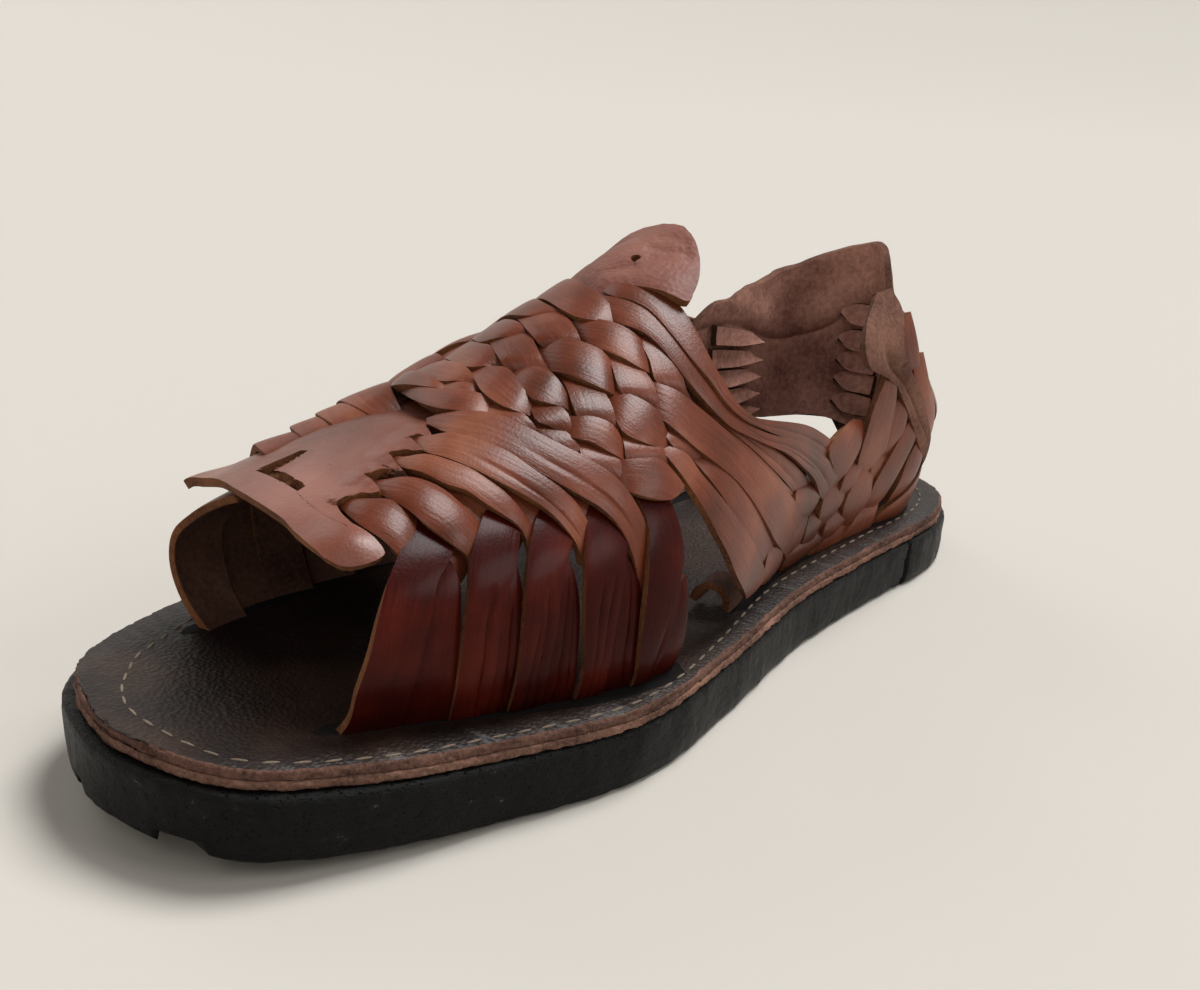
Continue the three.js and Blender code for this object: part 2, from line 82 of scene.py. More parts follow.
# Sections of the last: station, outer foot and belly, inner foot and belly, rise of the belly,
# shoulder reach and height, top reach and height
SECTIONS = np.array(
    [
        (-112, 23, 36, 30, 57, 24, 32, 55, 0, 55),
        (-106, 25, 38, 32, 58, 24, 33, 57.5, 0, 57.5),
        (-75, 37, 51, 39, 58, 24, 34, 68.5, 0, 68.5),
        (-35, 46, 61, 40, 58, 24, 34, 84.5, 0, 84.5),
        (0, 38, 55, 31, 50, 24, 31, 99, 0, 99),
        (30, 29, 45, 25, 42, 26, 30, 112, 0, 112),
        (60, 26, 37, 25, 37, 28, 31, 95, 12, 115),
        (95, 25.5, 34, 25.5, 34, 28, 33, 72, 24, 100),
        (145, 28, 35, 28, 35, 28, 32, 72, 25, 100),
    ]
)


def smooth_columns(table, at):
    """Rows of a table between its first column's values, on a smooth curve through the rows."""
    knots, values = table[:, 0], table[:, 1:]
    spans = np.diff(knots)[:, None]
    slopes = np.diff(values, axis=0) / spans
    tangents = np.vstack([slopes[:1], np.zeros_like(values[1:-1]), slopes[-1:]])
    tangents[1:-1] = (slopes[:-1] * spans[1:] + slopes[1:] * spans[:-1]) / (spans[1:] + spans[:-1])
    i = np.clip(np.searchsorted(knots, at, side="right") - 1, 0, len(knots) - 2)
    span = spans[i]
    t = (at[:, None] - knots[i][:, None]) / span
    return (
        (2 * t**3 - 3 * t**2 + 1) * values[i]
        + (t**3 - 2 * t**2 + t) * span * tangents[i]
        + (3 * t**2 - 2 * t**3) * values[i + 1]
        + (t**3 - t**2) * span * tangents[i + 1]
    )


def toe_spring(y):
    """Height that the toe spring adds at Y, in millimetres."""
    share = (HALF_LENGTH - y) / SOLE_LENGTH
    return TOE_LIFT * np.clip((share - LIFT_FROM) / (1 - LIFT_FROM), 0, 1) ** 2


def form_point(station, girth):
    """Points on the last: girth runs from 1 at the outer foot line over 0 on the ridge to -1.

    Stations past the middle of the back go on along the other side.
    """
    station, girth = np.broadcast_arrays(np.asarray(station, float), np.asarray(girth, float))
    past = station > HEEL_BACK
    station = np.where(past, 2 * HEEL_BACK - station, station)
    girth = np.where(past, -girth, girth)
    rows = smooth_columns(SECTIONS, station)
    side = np.where(girth < 0, -1.0, 1.0)
    up = 1 - np.abs(girth)
    rest = 1 - up
    foot = np.where(side > 0, rows[:, 0], rows[:, 2])
    belly = np.where(side > 0, rows[:, 1], rows[:, 3])
    sole = FOOTBED_Z + toe_spring(station)
    w0, w1, w2, w3 = rest**3, 3 * rest**2 * up, 3 * rest * up**2, up**3
    reach = w0 * foot + w1 * belly + w2 * rows[:, 5] + w3 * np.maximum(rows[:, 7], 0)
    z = w0 * sole + w1 * (sole + rows[:, 4]) + w2 * rows[:, 6] + w3 * rows[:, 8]
    turn = np.maximum(station - HEEL_CENTRE, 0) / HEEL_ARC * math.pi / 2
    y = np.minimum(station, HEEL_CENTRE) + reach * np.sin(turn)
    return np.stack([AXIS_X + side * reach * np.cos(turn), y, z], axis=1)


def unit(vectors):
    """Rows of vectors, each at length 1."""
    return vectors / np.linalg.norm(vectors, axis=1, keepdims=True)


def form_normal(station, girth):
    """Outward normals of the last."""
    along = form_point(station + 0.5, girth) - form_point(station - 0.5, girth)
    across = form_point(station, girth + 0.005) - form_point(station, girth - 0.005)
    return unit(np.cross(across, along))


def new_object(name, mesh_of, materials):
    """Smooth object from a bmesh, with its materials."""
    mesh = bpy.data.meshes.new(name)
    mesh_of.to_mesh(mesh)
    mesh_of.free()
    for polygon in mesh.polygons:
        polygon.use_smooth = True
    for material in materials:
        mesh.materials.append(material)
    thing = bpy.data.objects.new(name, mesh)
    bpy.context.scene.collection.objects.link(thing)
    return thing


def new_piece(name, mesh_of, node_name, materials):
    """Object from a bmesh, riding on the shoe and standing for a CAD node."""
    piece = new_object(name, mesh_of, materials)
    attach(piece, "root")
    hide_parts(node_name)
    return piece


def running_length(points, power=1.0):
    """Length along a line of points up to each of them, each hop raised to a power."""
    hops = np.linalg.norm(np.diff(points, axis=0), axis=1) ** power
    return np.concatenate([[0], np.cumsum(hops)])


def finer(table, step):
    """Rows of a table every step along its first column."""
    count = round((table[-1, 0] - table[0, 0]) / step)
    spots = np.linspace(table[0, 0], table[-1, 0], count + 1)
    return np.column_stack([spots, smooth_columns(table, spots)])


def flat_grid(mesh_of, flat, uvs=None):
    """Grid whose vertices go to an array of places, station by girth by height, in millimetres."""
    rows, columns = flat.shape[:2]
    made = bmesh.ops.create_grid(mesh_of, x_segments=rows - 1, y_segments=columns - 1, size=1)
    uv_layer = mesh_of.loops.layers.uv.verify()
    for vert in made["verts"]:
        i = round((vert.co.x + 1) / 2 * (rows - 1))
        j = round((vert.co.y + 1) / 2 * (columns - 1))
        place_of = flat[i, j]
        for loop in vert.link_loops:
            loop[uv_layer].uv = place_of[:2] if uvs is None else uvs[i, j]
        vert.co = place_of


def onto_last(mesh_of):
    """Lays a flat pattern on the last: its X is the station, Y the girth and Z the height, in millimetres."""
    flat = np.array([vert.co for vert in mesh_of.verts])
    girths = flat[:, 1] / GIRTH
    points = form_point(flat[:, 0], girths) + form_normal(flat[:, 0], girths) * flat[:, 2:3]
    for vert, point in zip(mesh_of.verts, points):
        vert.co = Vector(point) * MM
    bmesh.ops.reverse_faces(mesh_of, faces=mesh_of.faces)


def cut_out(mesh_of, corners):
    """Cuts a convex outline of (X, Y) corners, listed anticlockwise, out of a flat pattern."""
    corners = [Vector((x, y, 0)) for x, y in corners]
    middle = sum(corners, Vector()) / len(corners)
    reach = max((corner - middle).length for corner in corners) + 3
    sides = []
    for start, end in zip(corners, corners[1:] + corners[:1]):
        sides.append((start, Vector((end.y - start.y, start.x - end.x, 0)).normalized()))

    def near_faces():
        flat = Vector((1, 1, 0))
        return [f for f in mesh_of.faces if (f.calc_center_median() * flat - middle).length < reach]

    for start, out in sides:
        faces = near_faces()
        geom = faces + list({e for f in faces for e in f.edges}) + list({v for f in faces for v in f.verts})
        bmesh.ops.bisect_plane(mesh_of, geom=geom, dist=0.01, plane_co=start, plane_no=out)
    inside = []
    for face in near_faces():
        spot = face.calc_center_median()
        spot.z = 0
        if all((spot - start).dot(out) < 0 for start, out in sides):
            inside.append(face)
    bmesh.ops.delete(mesh_of, geom=inside, context="FACES")


# Straps: steps along them in millimetres, points that their lengths are measured with, and corner radius
STRAP_STEP, STRAP_SAMPLES = 1.5, 300
ROUTE_STEP, ROUTE_SAMPLES = 5, 400
STRAP_CORNER = 0.35
CROWN_WIDTH, CROWN_MOST = 9, 1.2  # strap width that has its stated crown, and most that a wider one has of it
CREASE_FADE = 0.12  # share of the length over which a crease begins and ends
UV_SHIFT = 37  # between the straps of a piece, so that their wrinkles differ


def lay_strap(mesh_of, rows, order=0, across=10, crown=0.22, tilt=0.0, creases=()):
    """Flat pattern of a strap between two edges, with its length and width in millimetres on the UV map.

    A row is station and girth of one edge, station and girth of the other, and the height over the last.
    A crease is its place across at either end, its first and last share of the length, its depth, and its
    width across.
    """
    table = np.array(rows, float)
    middle = np.column_stack([table[:, 0] + table[:, 2], (table[:, 1] + table[:, 3]) * GIRTH]) / 2
    table = np.column_stack([running_length(middle, 0.5), table])
    fine = np.linspace(0, table[-1, 0], STRAP_SAMPLES)
    first = smooth_columns(table, fine)
    lengths = running_length(form_point((first[:, 0] + first[:, 2]) / 2, (first[:, 1] + first[:, 3]) / 2))
    count = max(6, round(lengths[-1] / STRAP_STEP))
    share = np.linspace(0, 1, count + 1)[:, None]
    rows = smooth_columns(table, np.interp(share[:, 0] * lengths[-1], lengths, fine))
    one, other = rows[:, :2] * (1, GIRTH), rows[:, 2:4] * (1, GIRTH)
    half = count // 2
    ahead, width = (one + other)[half + 1] - (one + other)[half - 1], (other - one)[half]
    if ahead[0] * width[1] < ahead[1] * width[0]:
        one, other = other, one
        tilt = -tilt
    ends = form_point(other[:, 0], other[:, 1] / GIRTH) - form_point(one[:, 0], one[:, 1] / GIRTH)
    widths = np.linalg.norm(ends, axis=1)[:, None]
    v = np.linspace(-1, 1, across + 1)
    crowns = np.minimum(widths / CROWN_WIDTH, CROWN_MOST) * crown
    rise = crowns * (1 - np.abs(v) ** 3) + tilt * v
    for at_start, at_end, begin, end, depth, wide in creases:
        line = at_start + (at_end - at_start) * np.clip((share - begin) / (end - begin), 0, 1)
        fade = np.clip((share - begin) / CREASE_FADE, 0, 1) * np.clip((end - share) / CREASE_FADE, 0, 1)
        rise = rise - depth * fade * np.exp(-(((v - line) / wide) ** 2))
    flat = np.empty((count + 1, across + 1, 3))
    flat[:, :, :2] = one[:, None] + (other - one)[:, None] * ((v + 1) / 2)[None, :, None]
    flat[:, :, 2] = rows[:, 4:5] + rise
    uvs = np.stack(np.broadcast_arrays(share * lengths[-1] + order * UV_SHIFT, v * widths / 2), axis=2)
    flat_grid(mesh_of, flat, uvs)


def along_route(places):
    """Rows of a strap's two edges, at equal steps along the places of its middle."""
    table = np.array(places, float)
    table = np.column_stack([running_length(table[:, :2], 0.5), table])
    fine = np.linspace(0, table[-1, 0], ROUTE_SAMPLES)
    lengths = running_length(smooth_columns(table, fine)[:, :2])
    count = max(4, round(lengths[-1] / ROUTE_STEP))
    rows = smooth_columns(table, np.interp(np.linspace(0, lengths[-1], count + 1), lengths, fine))
    ahead = unit(np.gradient(rows[:, :2], axis=0))
    half = np.column_stack([-ahead[:, 1], ahead[:, 0]]) * rows[:, 3:4] / 2
    one, other = (rows[:, :2] - half) / (1, GIRTH), (rows[:, :2] + half) / (1, GIRTH)
    return np.column_stack([one, other, rows[:, 2]])


def thicken(piece, thick, corner):
    """Wall of a thickness with rounded corners. The edge takes the second material, the back the third."""
    wall = piece.modifiers.new("wall", "SOLIDIFY")
    wall.thickness = thick * MM
    wall.offset = 0
    wall.material_offset = 2
    wall.material_offset_rim = 1
    bevel = piece.modifiers.new("corner", "BEVEL")
    bevel.width = corner * MM
    bevel.segments = 2
    bevel.harden_normals = True
    bevel.limit_method = "ANGLE"
    bevel.angle_limit = math.radians(50)


def strap_piece(name, straps, materials, node_name="upper_weave"):
    """Straps of one group, each its rows and its details, with leather's thickness and raw edges."""
    mesh_of = bmesh.new()
    for order, (rows, details) in enumerate(straps):
        lay_strap(mesh_of, rows, order, **details)
    onto_last(mesh_of)
    piece = new_piece(name, mesh_of, node_name, materials)
    thicken(piece, STRAP_THICK, STRAP_CORNER)


# Toe fan on the inner side behind its first strap: foot and top of the upright and how far it leans in, plate
# slot, bend and tuck of the strap from the slot, and the foot of that strap. Heights run from 0 at the sole
# to 1 on the ridge.
FAN_KEYS = (
    "foot", "top", "top_up", "lean", "slot", "slot_up", "bend", "bend_up", "tuck", "tuck_up", "second",
)
FAN = [
    dict(zip(FAN_KEYS, row))
    for row in (
        (-85, -77, 0.62, 1.5, -89, 0.9, -84, 0.76, -80, 0.56, -74),
        (-67, -63, 0.56, 0.5, -81, 0.92, -75, 0.77, -65, 0.52, -60.5),
        (-53, -53.5, 0.54, 0, -74.5, 0.94, -69, 0.79, -56, 0.5, -46),
        (-39, -40, 0.5, 0, -67.5, 0.95, -63, 0.8, -49, 0.46, -36),
    )
]
# First strap of that fan from its end on the footbed to its top: station, height, height over the last, width
FAN_FIRST = [
    (-96, -0.16, -4.5, 9),
    (-96.5, -0.08, -2.6, 11),
    (-97, 0.04, -0.6, 13),
    (-97, 0.16, -0.6, 14),
    (-97, 0.3, -2.2, 13.5),
    (-96, 0.45, -4.2, 13.5),
    (-95, 0.6, -4.6, 14),
    (-94, 0.75, -4, 14),
]
PLATE_SHIFT = 0.1  # the plate sits this share of the girth to the inner side
BENEATH = 2.6  # how far a strap lies under the straps of the layer above it

# Girth on either side of the ridge up to which the plait's straps cross, and where those in the first
# direction leave it on the inner side
PLAIT_REACH, PLAIT_INNER = 0.42, -0.3
# Girth from which, and span over which, the plait goes down under the instep straps
SINK_FROM, SINK_SPAN = -0.27, 0.1
LEADING_WIDTH, TRAILING_WIDTH, QUARTER_WIDTH = 11.5, 9, 8.5

# Plait under the instep straps and on the inner side: ridge crossings of the straps in one direction, and of
# those in the other
LEADING = [-58, -45, -32.5, -20]
TRAILING = [-55, -46.5, -38.5, -31, -24, -17, -11]
# Straps that sweep back over the inner quarter: station and height of their places, from the plait's edge on
SWEEPS = {
    0: [(-35, 0.52), (-31, 0.43), (-22, 0.29), (0, 0.08), (6, -0.02)],
    1: [(-29, 0.51), (-19, 0.38), (-4, 0.24), (20, 0.07), (27, -0.02)],
    2: [(-25, 0.66), (-16, 0.52), (-3, 0.36), (25, 0.18), (52, -0.02)],
    3: [(-18, 0.64), (-6, 0.48), (18, 0.33), (48, 0.2), (78, -0.02)],
    4: [(-17, 0.77), (-13, 0.61), (5, 0.46)],
    6: [(-9, 0.8), (-6, 0.64), (3, 0.52)],
}

# Bands beside the counter on the inner side: height, and the start of one that is not a plaited strap's end
BANDS = [(0.26, (20, 0.22)), (0.32, (0, 0.33)), (0.38, None), (0.44, (2, 0.44)), (0.5, None)]
BAND_WIDTH, BAND_START_WIDTH = 6.4, 6.2
# One more strap that lies under the plait on the inner side, with rows like those of FAN_FIRST
UNDER_PLAIT = [(-38, 0.22, -2.8, 13), (-29, 0.42, -2.8, 13), (-18, 0.62, -2.8, 13)]


def place(station, up, over, width, side=-1):
    """One place on a strap's route: station, girth in millimetres, height over the last, strap width."""
    return station, side * (1 - up) * GIRTH, over, width


def inner_upright(k):
    """Upright strap of the inner toe fan, from the sole to its top, over its own second strap."""
    row = FAN[k]
    lean = row["lean"]
    return [
        place(row["foot"], -0.02, 0.5, 11),
        place(row["foot"], 0.15, STEP_OVER + 0.4 - lean / 2, 11),
        place((row["foot"] + row["top"]) / 2 - 2, 0.36, STEP_OVER + 0.4 - lean, 10.5),
        place(row["top"], row["top_up"], -STEP_OVER - lean, 10.5),
    ]


def inner_slot_strap(k):
    """Strap from under the plate's inner edge, over the upright before it and behind its own to the sole."""
    row = FAN[k]
    middle_up = (row["slot_up"] + row["bend_up"]) / 2 - PLATE_SHIFT * 0.8
    return [
        place(row["slot"], row["slot_up"] + 0.02 - PLATE_SHIFT, -2.2, 6),
        place((row["slot"] + row["bend"]) / 2, middle_up, 1.4, 9.5),
        place(row["bend"], row["bend_up"] - PLATE_SHIFT / 2, STEP_OVER + 0.9, 11),
        place(row["tuck"], row["tuck_up"], 0.1, 11),
        place((row["tuck"] + row["second"]) / 2 + 1, 0.34, -STEP_OVER, 11),
        place(row["second"], 0.16, -STEP_OVER / 2, 12),
        place(row["second"], -0.02, 0, 12),
    ]


def crossings(own, index, others, side, width):
    """Places where a plaited strap crosses those of the other direction, sunk under the instep straps."""
    found = []
    for j, other in enumerate(others):
        girth = side * (other - own) / (2 * PLAIT_SLOPE)
        if abs(girth) < PLAIT_REACH:
            over = STEP_OVER * side * (1 if (index + j) % 2 else -1)
            sunk = BENEATH * min(1, max(0, (girth - SINK_FROM) / SINK_SPAN))
            found.append(((own + other) / 2, girth * GIRTH, over - sunk, width))
    return sorted(found, key=lambda p: side * p[1])


def sweep_back(j):
    """Inner quarter strap from the edge of the plait to its seat, or to where it becomes a band."""
    turn = 1 if j % 2 else -1
    lifts = [turn * STEP_OVER, 0, -turn * STEP_OVER, turn * STEP_OVER, -STEP_OVER]
    return [place(s, up, lift, QUARTER_WIDTH) for (s, up), lift in zip(SWEEPS[j], lifts)]


def band(k):
    """Band beside the counter, from the inner quarter round the back of the heel to under the outer braid."""
    up = BANDS[k][0]
    over = 0.45 if k % 2 else -0.35
    return [
        place(50, up, over, BAND_WIDTH),
        place(90, up, over, BAND_WIDTH),
        place(HEEL_BACK + 4, up - 0.02, over, BAND_WIDTH),
        place(HEEL_BACK + 15, up - 0.03, -1.6, BAND_WIDTH),
        place(HEEL_BACK + 24, up - 0.04, -2.4, BAND_WIDTH),
    ]


def inner_fan_straps():
    """First strap of the inner toe fan, then the straps from the plate's slots, tilted like shingles."""
    straps = [(along_route([place(*row) for row in FAN_FIRST]), {})]
    for k in range(len(FAN)):
        straps.append((along_route(inner_slot_strap(k)), {"tilt": -0.8}))
    return straps


def plait_routes():
    """Routes of the straps of the plait with what they become on the inner side, and of the bands."""
    routes = []
    for i, ridge in enumerate(LEADING):
        back = sweep_back(i * 2)
        # The last two end as bands
        if i >= 2:
            back += band(i * 2 - 2)
        over_ridge = crossings(ridge, i, TRAILING, -1, LEADING_WIDTH)
        routes.append([spot for spot in over_ridge if spot[1] > PLAIT_INNER * GIRTH] + back)
    for j, ridge in enumerate(TRAILING):
        start = [place(ridge - 14, 0.6, -STEP_OVER, QUARTER_WIDTH)]
        if j % 2 == 0:
            start = inner_upright(j // 2)
        routes.append(start + crossings(ridge, j, LEADING, 1, TRAILING_WIDTH))
    for j in (1, 3):
        ridge = TRAILING[j]
        hidden = place(ridge, 0.9, -STEP_OVER - BENEATH, QUARTER_WIDTH, side=1)
        routes.append([hidden, place(ridge + 6, 0.86, -1.5, QUARTER_WIDTH)] + sweep_back(j))
    for k, (_, start) in enumerate(BANDS):
        if start:
            routes.append([place(*start, 0, BAND_START_WIDTH)] + band(k))
    routes.append([place(*row) for row in UNDER_PLAIT])
    return routes


# Straps over the instep and on the outer side. A row is station and girth of one edge, station and girth of
# the other, and the height over the last. Girth is 0 on the ridge and 1 at the outer foot line.
STRAPS = {
    "upright_1": [
        (-110, 1.06, -97, 1.02, 0.3), (-108, 0.955, -97.5, 0.945, 1.2), (-108.5, 0.825, -98, 0.845, 1.5),
        (-107.5, 0.705, -97.5, 0.75, 1.5), (-105, 0.555, -95.5, 0.61, 1.5),
        (-100.5, 0.435, -92.5, 0.505, 1.3), (-95, 0.355, -89, 0.46, 0.8), (-88, 0.28, -84.5, 0.4, -0.4),
        (-82.5, 0.24, -79.5, 0.35, -1.4),
    ],
    "second_1": [
        (-97.5, 1.025, -87, 1.025, 0), (-98, 0.93, -88, 0.935, 0), (-98.5, 0.775, -89.5, 0.765, -0.2),
        (-96.5, 0.635, -89, 0.645, -0.5), (-93.5, 0.52, -87.5, 0.525, -0.9),
        (-90, 0.445, -87.5, 0.45, -1.2),
    ],
    "upright_2": [
        (-87, 1.025, -81, 0.99, 0.3), (-88.5, 0.935, -82, 0.915, 1.2), (-89.5, 0.785, -82.5, 0.805, 1.5),
        (-89, 0.665, -82, 0.69, 1.5), (-87, 0.56, -79.5, 0.595, 1.4), (-84, 0.465, -76.5, 0.54, 1),
        (-78.5, 0.385, -73.5, 0.48, 0.2), (-74.5, 0.345, -70.5, 0.43, -1),
        (-69.5, 0.31, -66.5, 0.395, -1.4),
    ],
    "second_2": [
        (-80.5, 1.02, -75.5, 1.03, 0), (-81.5, 0.95, -76, 0.97, 0), (-82, 0.82, -77, 0.82, -0.2),
        (-81.5, 0.695, -76.5, 0.71, -0.5), (-79, 0.59, -75.5, 0.605, -0.9), (-76, 0.535, -75, 0.535, -1.2),
    ],
    "upright_3": [
        (-75, 1.03, -69.5, 1.005, 0.3), (-76.5, 0.96, -70, 0.95, 1.2), (-77.5, 0.805, -71, 0.825, 1.4),
        (-77, 0.7, -70, 0.735, 1.4), (-75.5, 0.605, -68.5, 0.645, 1.3), (-73, 0.53, -65, 0.565, 0.9),
        (-69, 0.46, -62, 0.525, 0), (-64.5, 0.41, -59.5, 0.48, -1), (-60, 0.38, -55.5, 0.455, -1.4),
    ],
    "second_3": [
        (-69.5, 1.02, -61, 1.03, 0), (-70, 0.965, -62, 0.97, 0), (-70.5, 0.84, -64, 0.84, -0.2),
        (-70, 0.74, -64, 0.755, -0.5), (-68, 0.655, -63.5, 0.66, -0.9), (-65, 0.58, -63.5, 0.575, -1.2),
    ],
    "upright_4": [
        (-60.5, 1.03, -54, 1.01, 0.3), (-61.5, 0.96, -56, 0.94, 1.2), (-63, 0.835, -57, 0.85, 1.4),
        (-63.5, 0.73, -56.5, 0.765, 1.4), (-62.5, 0.645, -54.5, 0.69, 1.2), (-60.5, 0.565, -52, 0.615, 0.9),
        (-57.5, 0.5, -49.5, 0.57, 0), (-54, 0.455, -47, 0.535, -1), (-49.5, 0.43, -43.5, 0.5, -1.4),
    ],
    "second_4": [
        (-53.5, 1.03, -47.5, 1.03, 0), (-55, 0.965, -45.5, 1.01, 0), (-56.5, 0.865, -48.5, 0.89, -0.2),
        (-56, 0.78, -48.5, 0.795, -0.5), (-54, 0.695, -48.5, 0.705, -0.9),
        (-51.5, 0.62, -49.5, 0.615, -1.2),
    ],
    "upright_5": [
        (-47.5, 1.03, -42, 1.025, 0.3), (-47.5, 0.98, -43, 0.95, 1.2), (-49.5, 0.86, -42.5, 0.855, 1.4),
        (-49.5, 0.775, -41, 0.785, 1.4), (-48, 0.695, -39, 0.71, 1.3), (-46, 0.625, -37, 0.655, 1.1),
        (-44, 0.56, -36, 0.585, 0.6), (-43.5, 0.5, -36, 0.53, -0.4), (-44, 0.445, -37, 0.475, -1.2),
    ],
    "second_5": [
        (-43, 1.03, -34, 1.01, 0), (-42.5, 0.975, -34.5, 0.95, 0), (-42, 0.87, -35, 0.85, -0.2),
        (-40, 0.795, -35, 0.775, -0.5), (-37.5, 0.735, -35, 0.715, -1),
    ],
    "slot_strap_1": [
        (-96, 0.11, -97, 0.12, -0.6), (-95, 0.14, -98, 0.175, 0.6), (-93.5, 0.175, -98.5, 0.24, 1.3),
        (-91, 0.205, -97.5, 0.305, 1.2), (-89.5, 0.245, -96.5, 0.37, 0.5), (-88, 0.285, -95, 0.435, -1),
        (-87.5, 0.35, -93.5, 0.5, -1.6),
    ],
    "slot_strap_2": [
        (-88.5, 0.105, -89.5, 0.12, -0.6), (-87, 0.145, -90, 0.19, 0.8), (-85, 0.175, -89.5, 0.26, 1.7),
        (-83, 0.215, -89, 0.325, 1.8), (-81.5, 0.26, -87.5, 0.38, 1.5), (-80.5, 0.315, -86, 0.42, 1),
        (-79.5, 0.365, -84.5, 0.45, 0.2), (-79, 0.425, -84, 0.49, -1), (-79.5, 0.49, -84, 0.54, -1.5),
    ],
    "slot_strap_3": [
        (-81, 0.06, -82, 0.075, -0.6), (-80.5, 0.11, -82.5, 0.135, 0.8), (-78, 0.145, -81.5, 0.185, 1.7),
        (-76, 0.195, -80, 0.25, 1.8), (-74, 0.245, -77.5, 0.295, 1.7), (-72.5, 0.295, -76, 0.345, 1.4),
        (-71, 0.35, -74, 0.39, 1), (-70, 0.4, -72, 0.43, 0.3), (-69, 0.445, -71, 0.47, -0.8),
        (-69.5, 0.5, -71.5, 0.535, -1.5),
    ],
    "slot_strap_4": [
        (-74, 0.05, -75, 0.065, -0.6), (-73, 0.095, -76.5, 0.13, 0.8), (-70.5, 0.13, -75.5, 0.185, 1.7),
        (-68, 0.185, -73.5, 0.245, 1.8), (-65.5, 0.25, -71, 0.315, 1.8), (-63, 0.32, -68, 0.375, 1.6),
        (-60.5, 0.39, -65, 0.435, 1.3), (-58.5, 0.445, -63, 0.49, 0.8), (-57.5, 0.495, -61.5, 0.54, 0),
        (-58, 0.55, -61, 0.595, -1.2),
    ],
    "slot_strap_5": [
        (-68, 0.025, -69, 0.04, -0.6), (-66, 0.06, -70, 0.105, 0.8), (-63.5, 0.105, -69.5, 0.16, 1.6),
        (-60.5, 0.155, -67, 0.215, 1.7), (-58, 0.23, -64.5, 0.285, 1.7), (-55, 0.305, -61.5, 0.36, 1.7),
        (-51, 0.375, -57.5, 0.43, 1.6), (-47.5, 0.44, -53.5, 0.49, 1.4), (-45.5, 0.505, -51, 0.545, 0.8),
        (-44.5, 0.57, -49.5, 0.615, 0), (-45, 0.64, -48.5, 0.695, -1.2), (-46.5, 0.715, -48, 0.765, -1.5),
    ],
    "instep_15": [
        (-34, -0.005, -42, 0.11, -1.2), (-35, 0.05, -41.5, 0.145, 0.2), (-33.5, 0.09, -40.5, 0.185, 1.2),
        (-32, 0.135, -39, 0.225, 1.4), (-30.5, 0.175, -37, 0.26, 1), (-29.5, 0.205, -35, 0.275, -0.4),
        (-29.5, 0.245, -33.5, 0.295, -1.4),
    ],
    "instep_16": [
        (-24.5, 0.005, -30.5, 0.115, -1.2), (-25.5, 0.055, -30.5, 0.145, 0.2),
        (-24, 0.105, -29.5, 0.185, 1.2), (-22, 0.155, -28, 0.225, 1.4), (-21, 0.195, -26, 0.265, 1),
        (-20, 0.23, -23.5, 0.29, -0.4), (-20.5, 0.275, -23, 0.315, -1.4),
    ],
    "instep_14": [
        (-4, -0.27, -14, -0.27, -0.8), (-9, -0.17, -20, -0.13, 0.6), (-14.5, -0.045, -26, 0.01, 1.3),
        (-17, 0.025, -26.5, 0.07, 1.4), (-18.5, 0.08, -24, 0.11, 1), (-20, 0.125, -21.5, 0.13, -0.2),
        (-20.5, 0.16, -21, 0.155, -1.3),
    ],
    "instep_09": [
        (-44.5, 0.05, -47.5, 0.055, -1.2), (-44.5, 0.095, -50, 0.115, 0.6),
        (-43.5, 0.135, -51.5, 0.175, 1.3), (-44, 0.175, -49.5, 0.21, 1.2), (-45, 0.215, -47, 0.235, 0.2),
        (-46, 0.255, -47, 0.265, -1.2),
    ],
    "instep_08": [
        (-48.5, -0.05, -50, -0.055, -1.2), (-49.5, 0.015, -54, 0.02, 0.6), (-48.5, 0.06, -57, 0.08, 1.2),
        (-50, 0.11, -57.5, 0.14, 1.3), (-51.5, 0.155, -56, 0.18, 1), (-52, 0.185, -54, 0.2, -0.4),
        (-53, 0.22, -54, 0.235, -1.4),
    ],
    "instep_02": [
        (-57.5, -0.19, -60.5, -0.15, -0.8), (-61, -0.08, -65.5, -0.025, 0.8),
        (-61, -0.005, -66, 0.045, 1.4), (-58.5, 0.05, -64, 0.09, 1.4), (-57.5, 0.085, -61, 0.12, 0.6),
        (-57, 0.11, -59.5, 0.135, -0.8),
    ],
    "instep_20": [
        (-35.5, 0.255, -37, 0.27, -1.2), (-33.5, 0.285, -39, 0.32, 0.6), (-31.5, 0.32, -40, 0.36, 1.3),
        (-29.5, 0.36, -37, 0.4, 1.3), (-29.5, 0.4, -33.5, 0.425, 0.6), (-28.5, 0.435, -30, 0.45, -1),
    ],
    "instep_22": [
        (-44.5, 0.39, -47.5, 0.45, -1.2), (-43.5, 0.41, -46.5, 0.47, 0.8), (-39.5, 0.43, -43.5, 0.5, 1.6),
        (-35.5, 0.45, -39.5, 0.525, 1.7), (-33.5, 0.485, -36.5, 0.535, 1.5), (-31.5, 0.525, -32.5, 0.53, 1),
    ],
    "instep_18": [
        (-48, 0.24, -50.5, 0.275, -1.2), (-47, 0.27, -50.5, 0.31, 0.8), (-44, 0.295, -48, 0.34, 1.3),
        (-41.5, 0.33, -46, 0.375, 1.2), (-41, 0.365, -43.5, 0.405, 0.4), (-40, 0.4, -42, 0.43, -1.2),
    ],
    "instep_01": [
        (-50, -0.3, -58, -0.26, -0.6), (-53, -0.22, -60.5, -0.17, 1), (-56, -0.125, -61, -0.08, 1.2),
        (-58, -0.045, -60.5, -0.02, 0.8), (-57, -0.03, -59, -0.015, -0.8),
    ],
    "instep_03": [
        (-47, -0.19, -49.5, -0.285, -0.4), (-50.5, -0.09, -57, -0.11, 0.8), (-51.5, -0.04, -58, -0.035, 1),
        (-53.5, 0.01, -56, 0, 0.7), (-54.5, 0.04, -54.5, 0.025, -0.6),
    ],
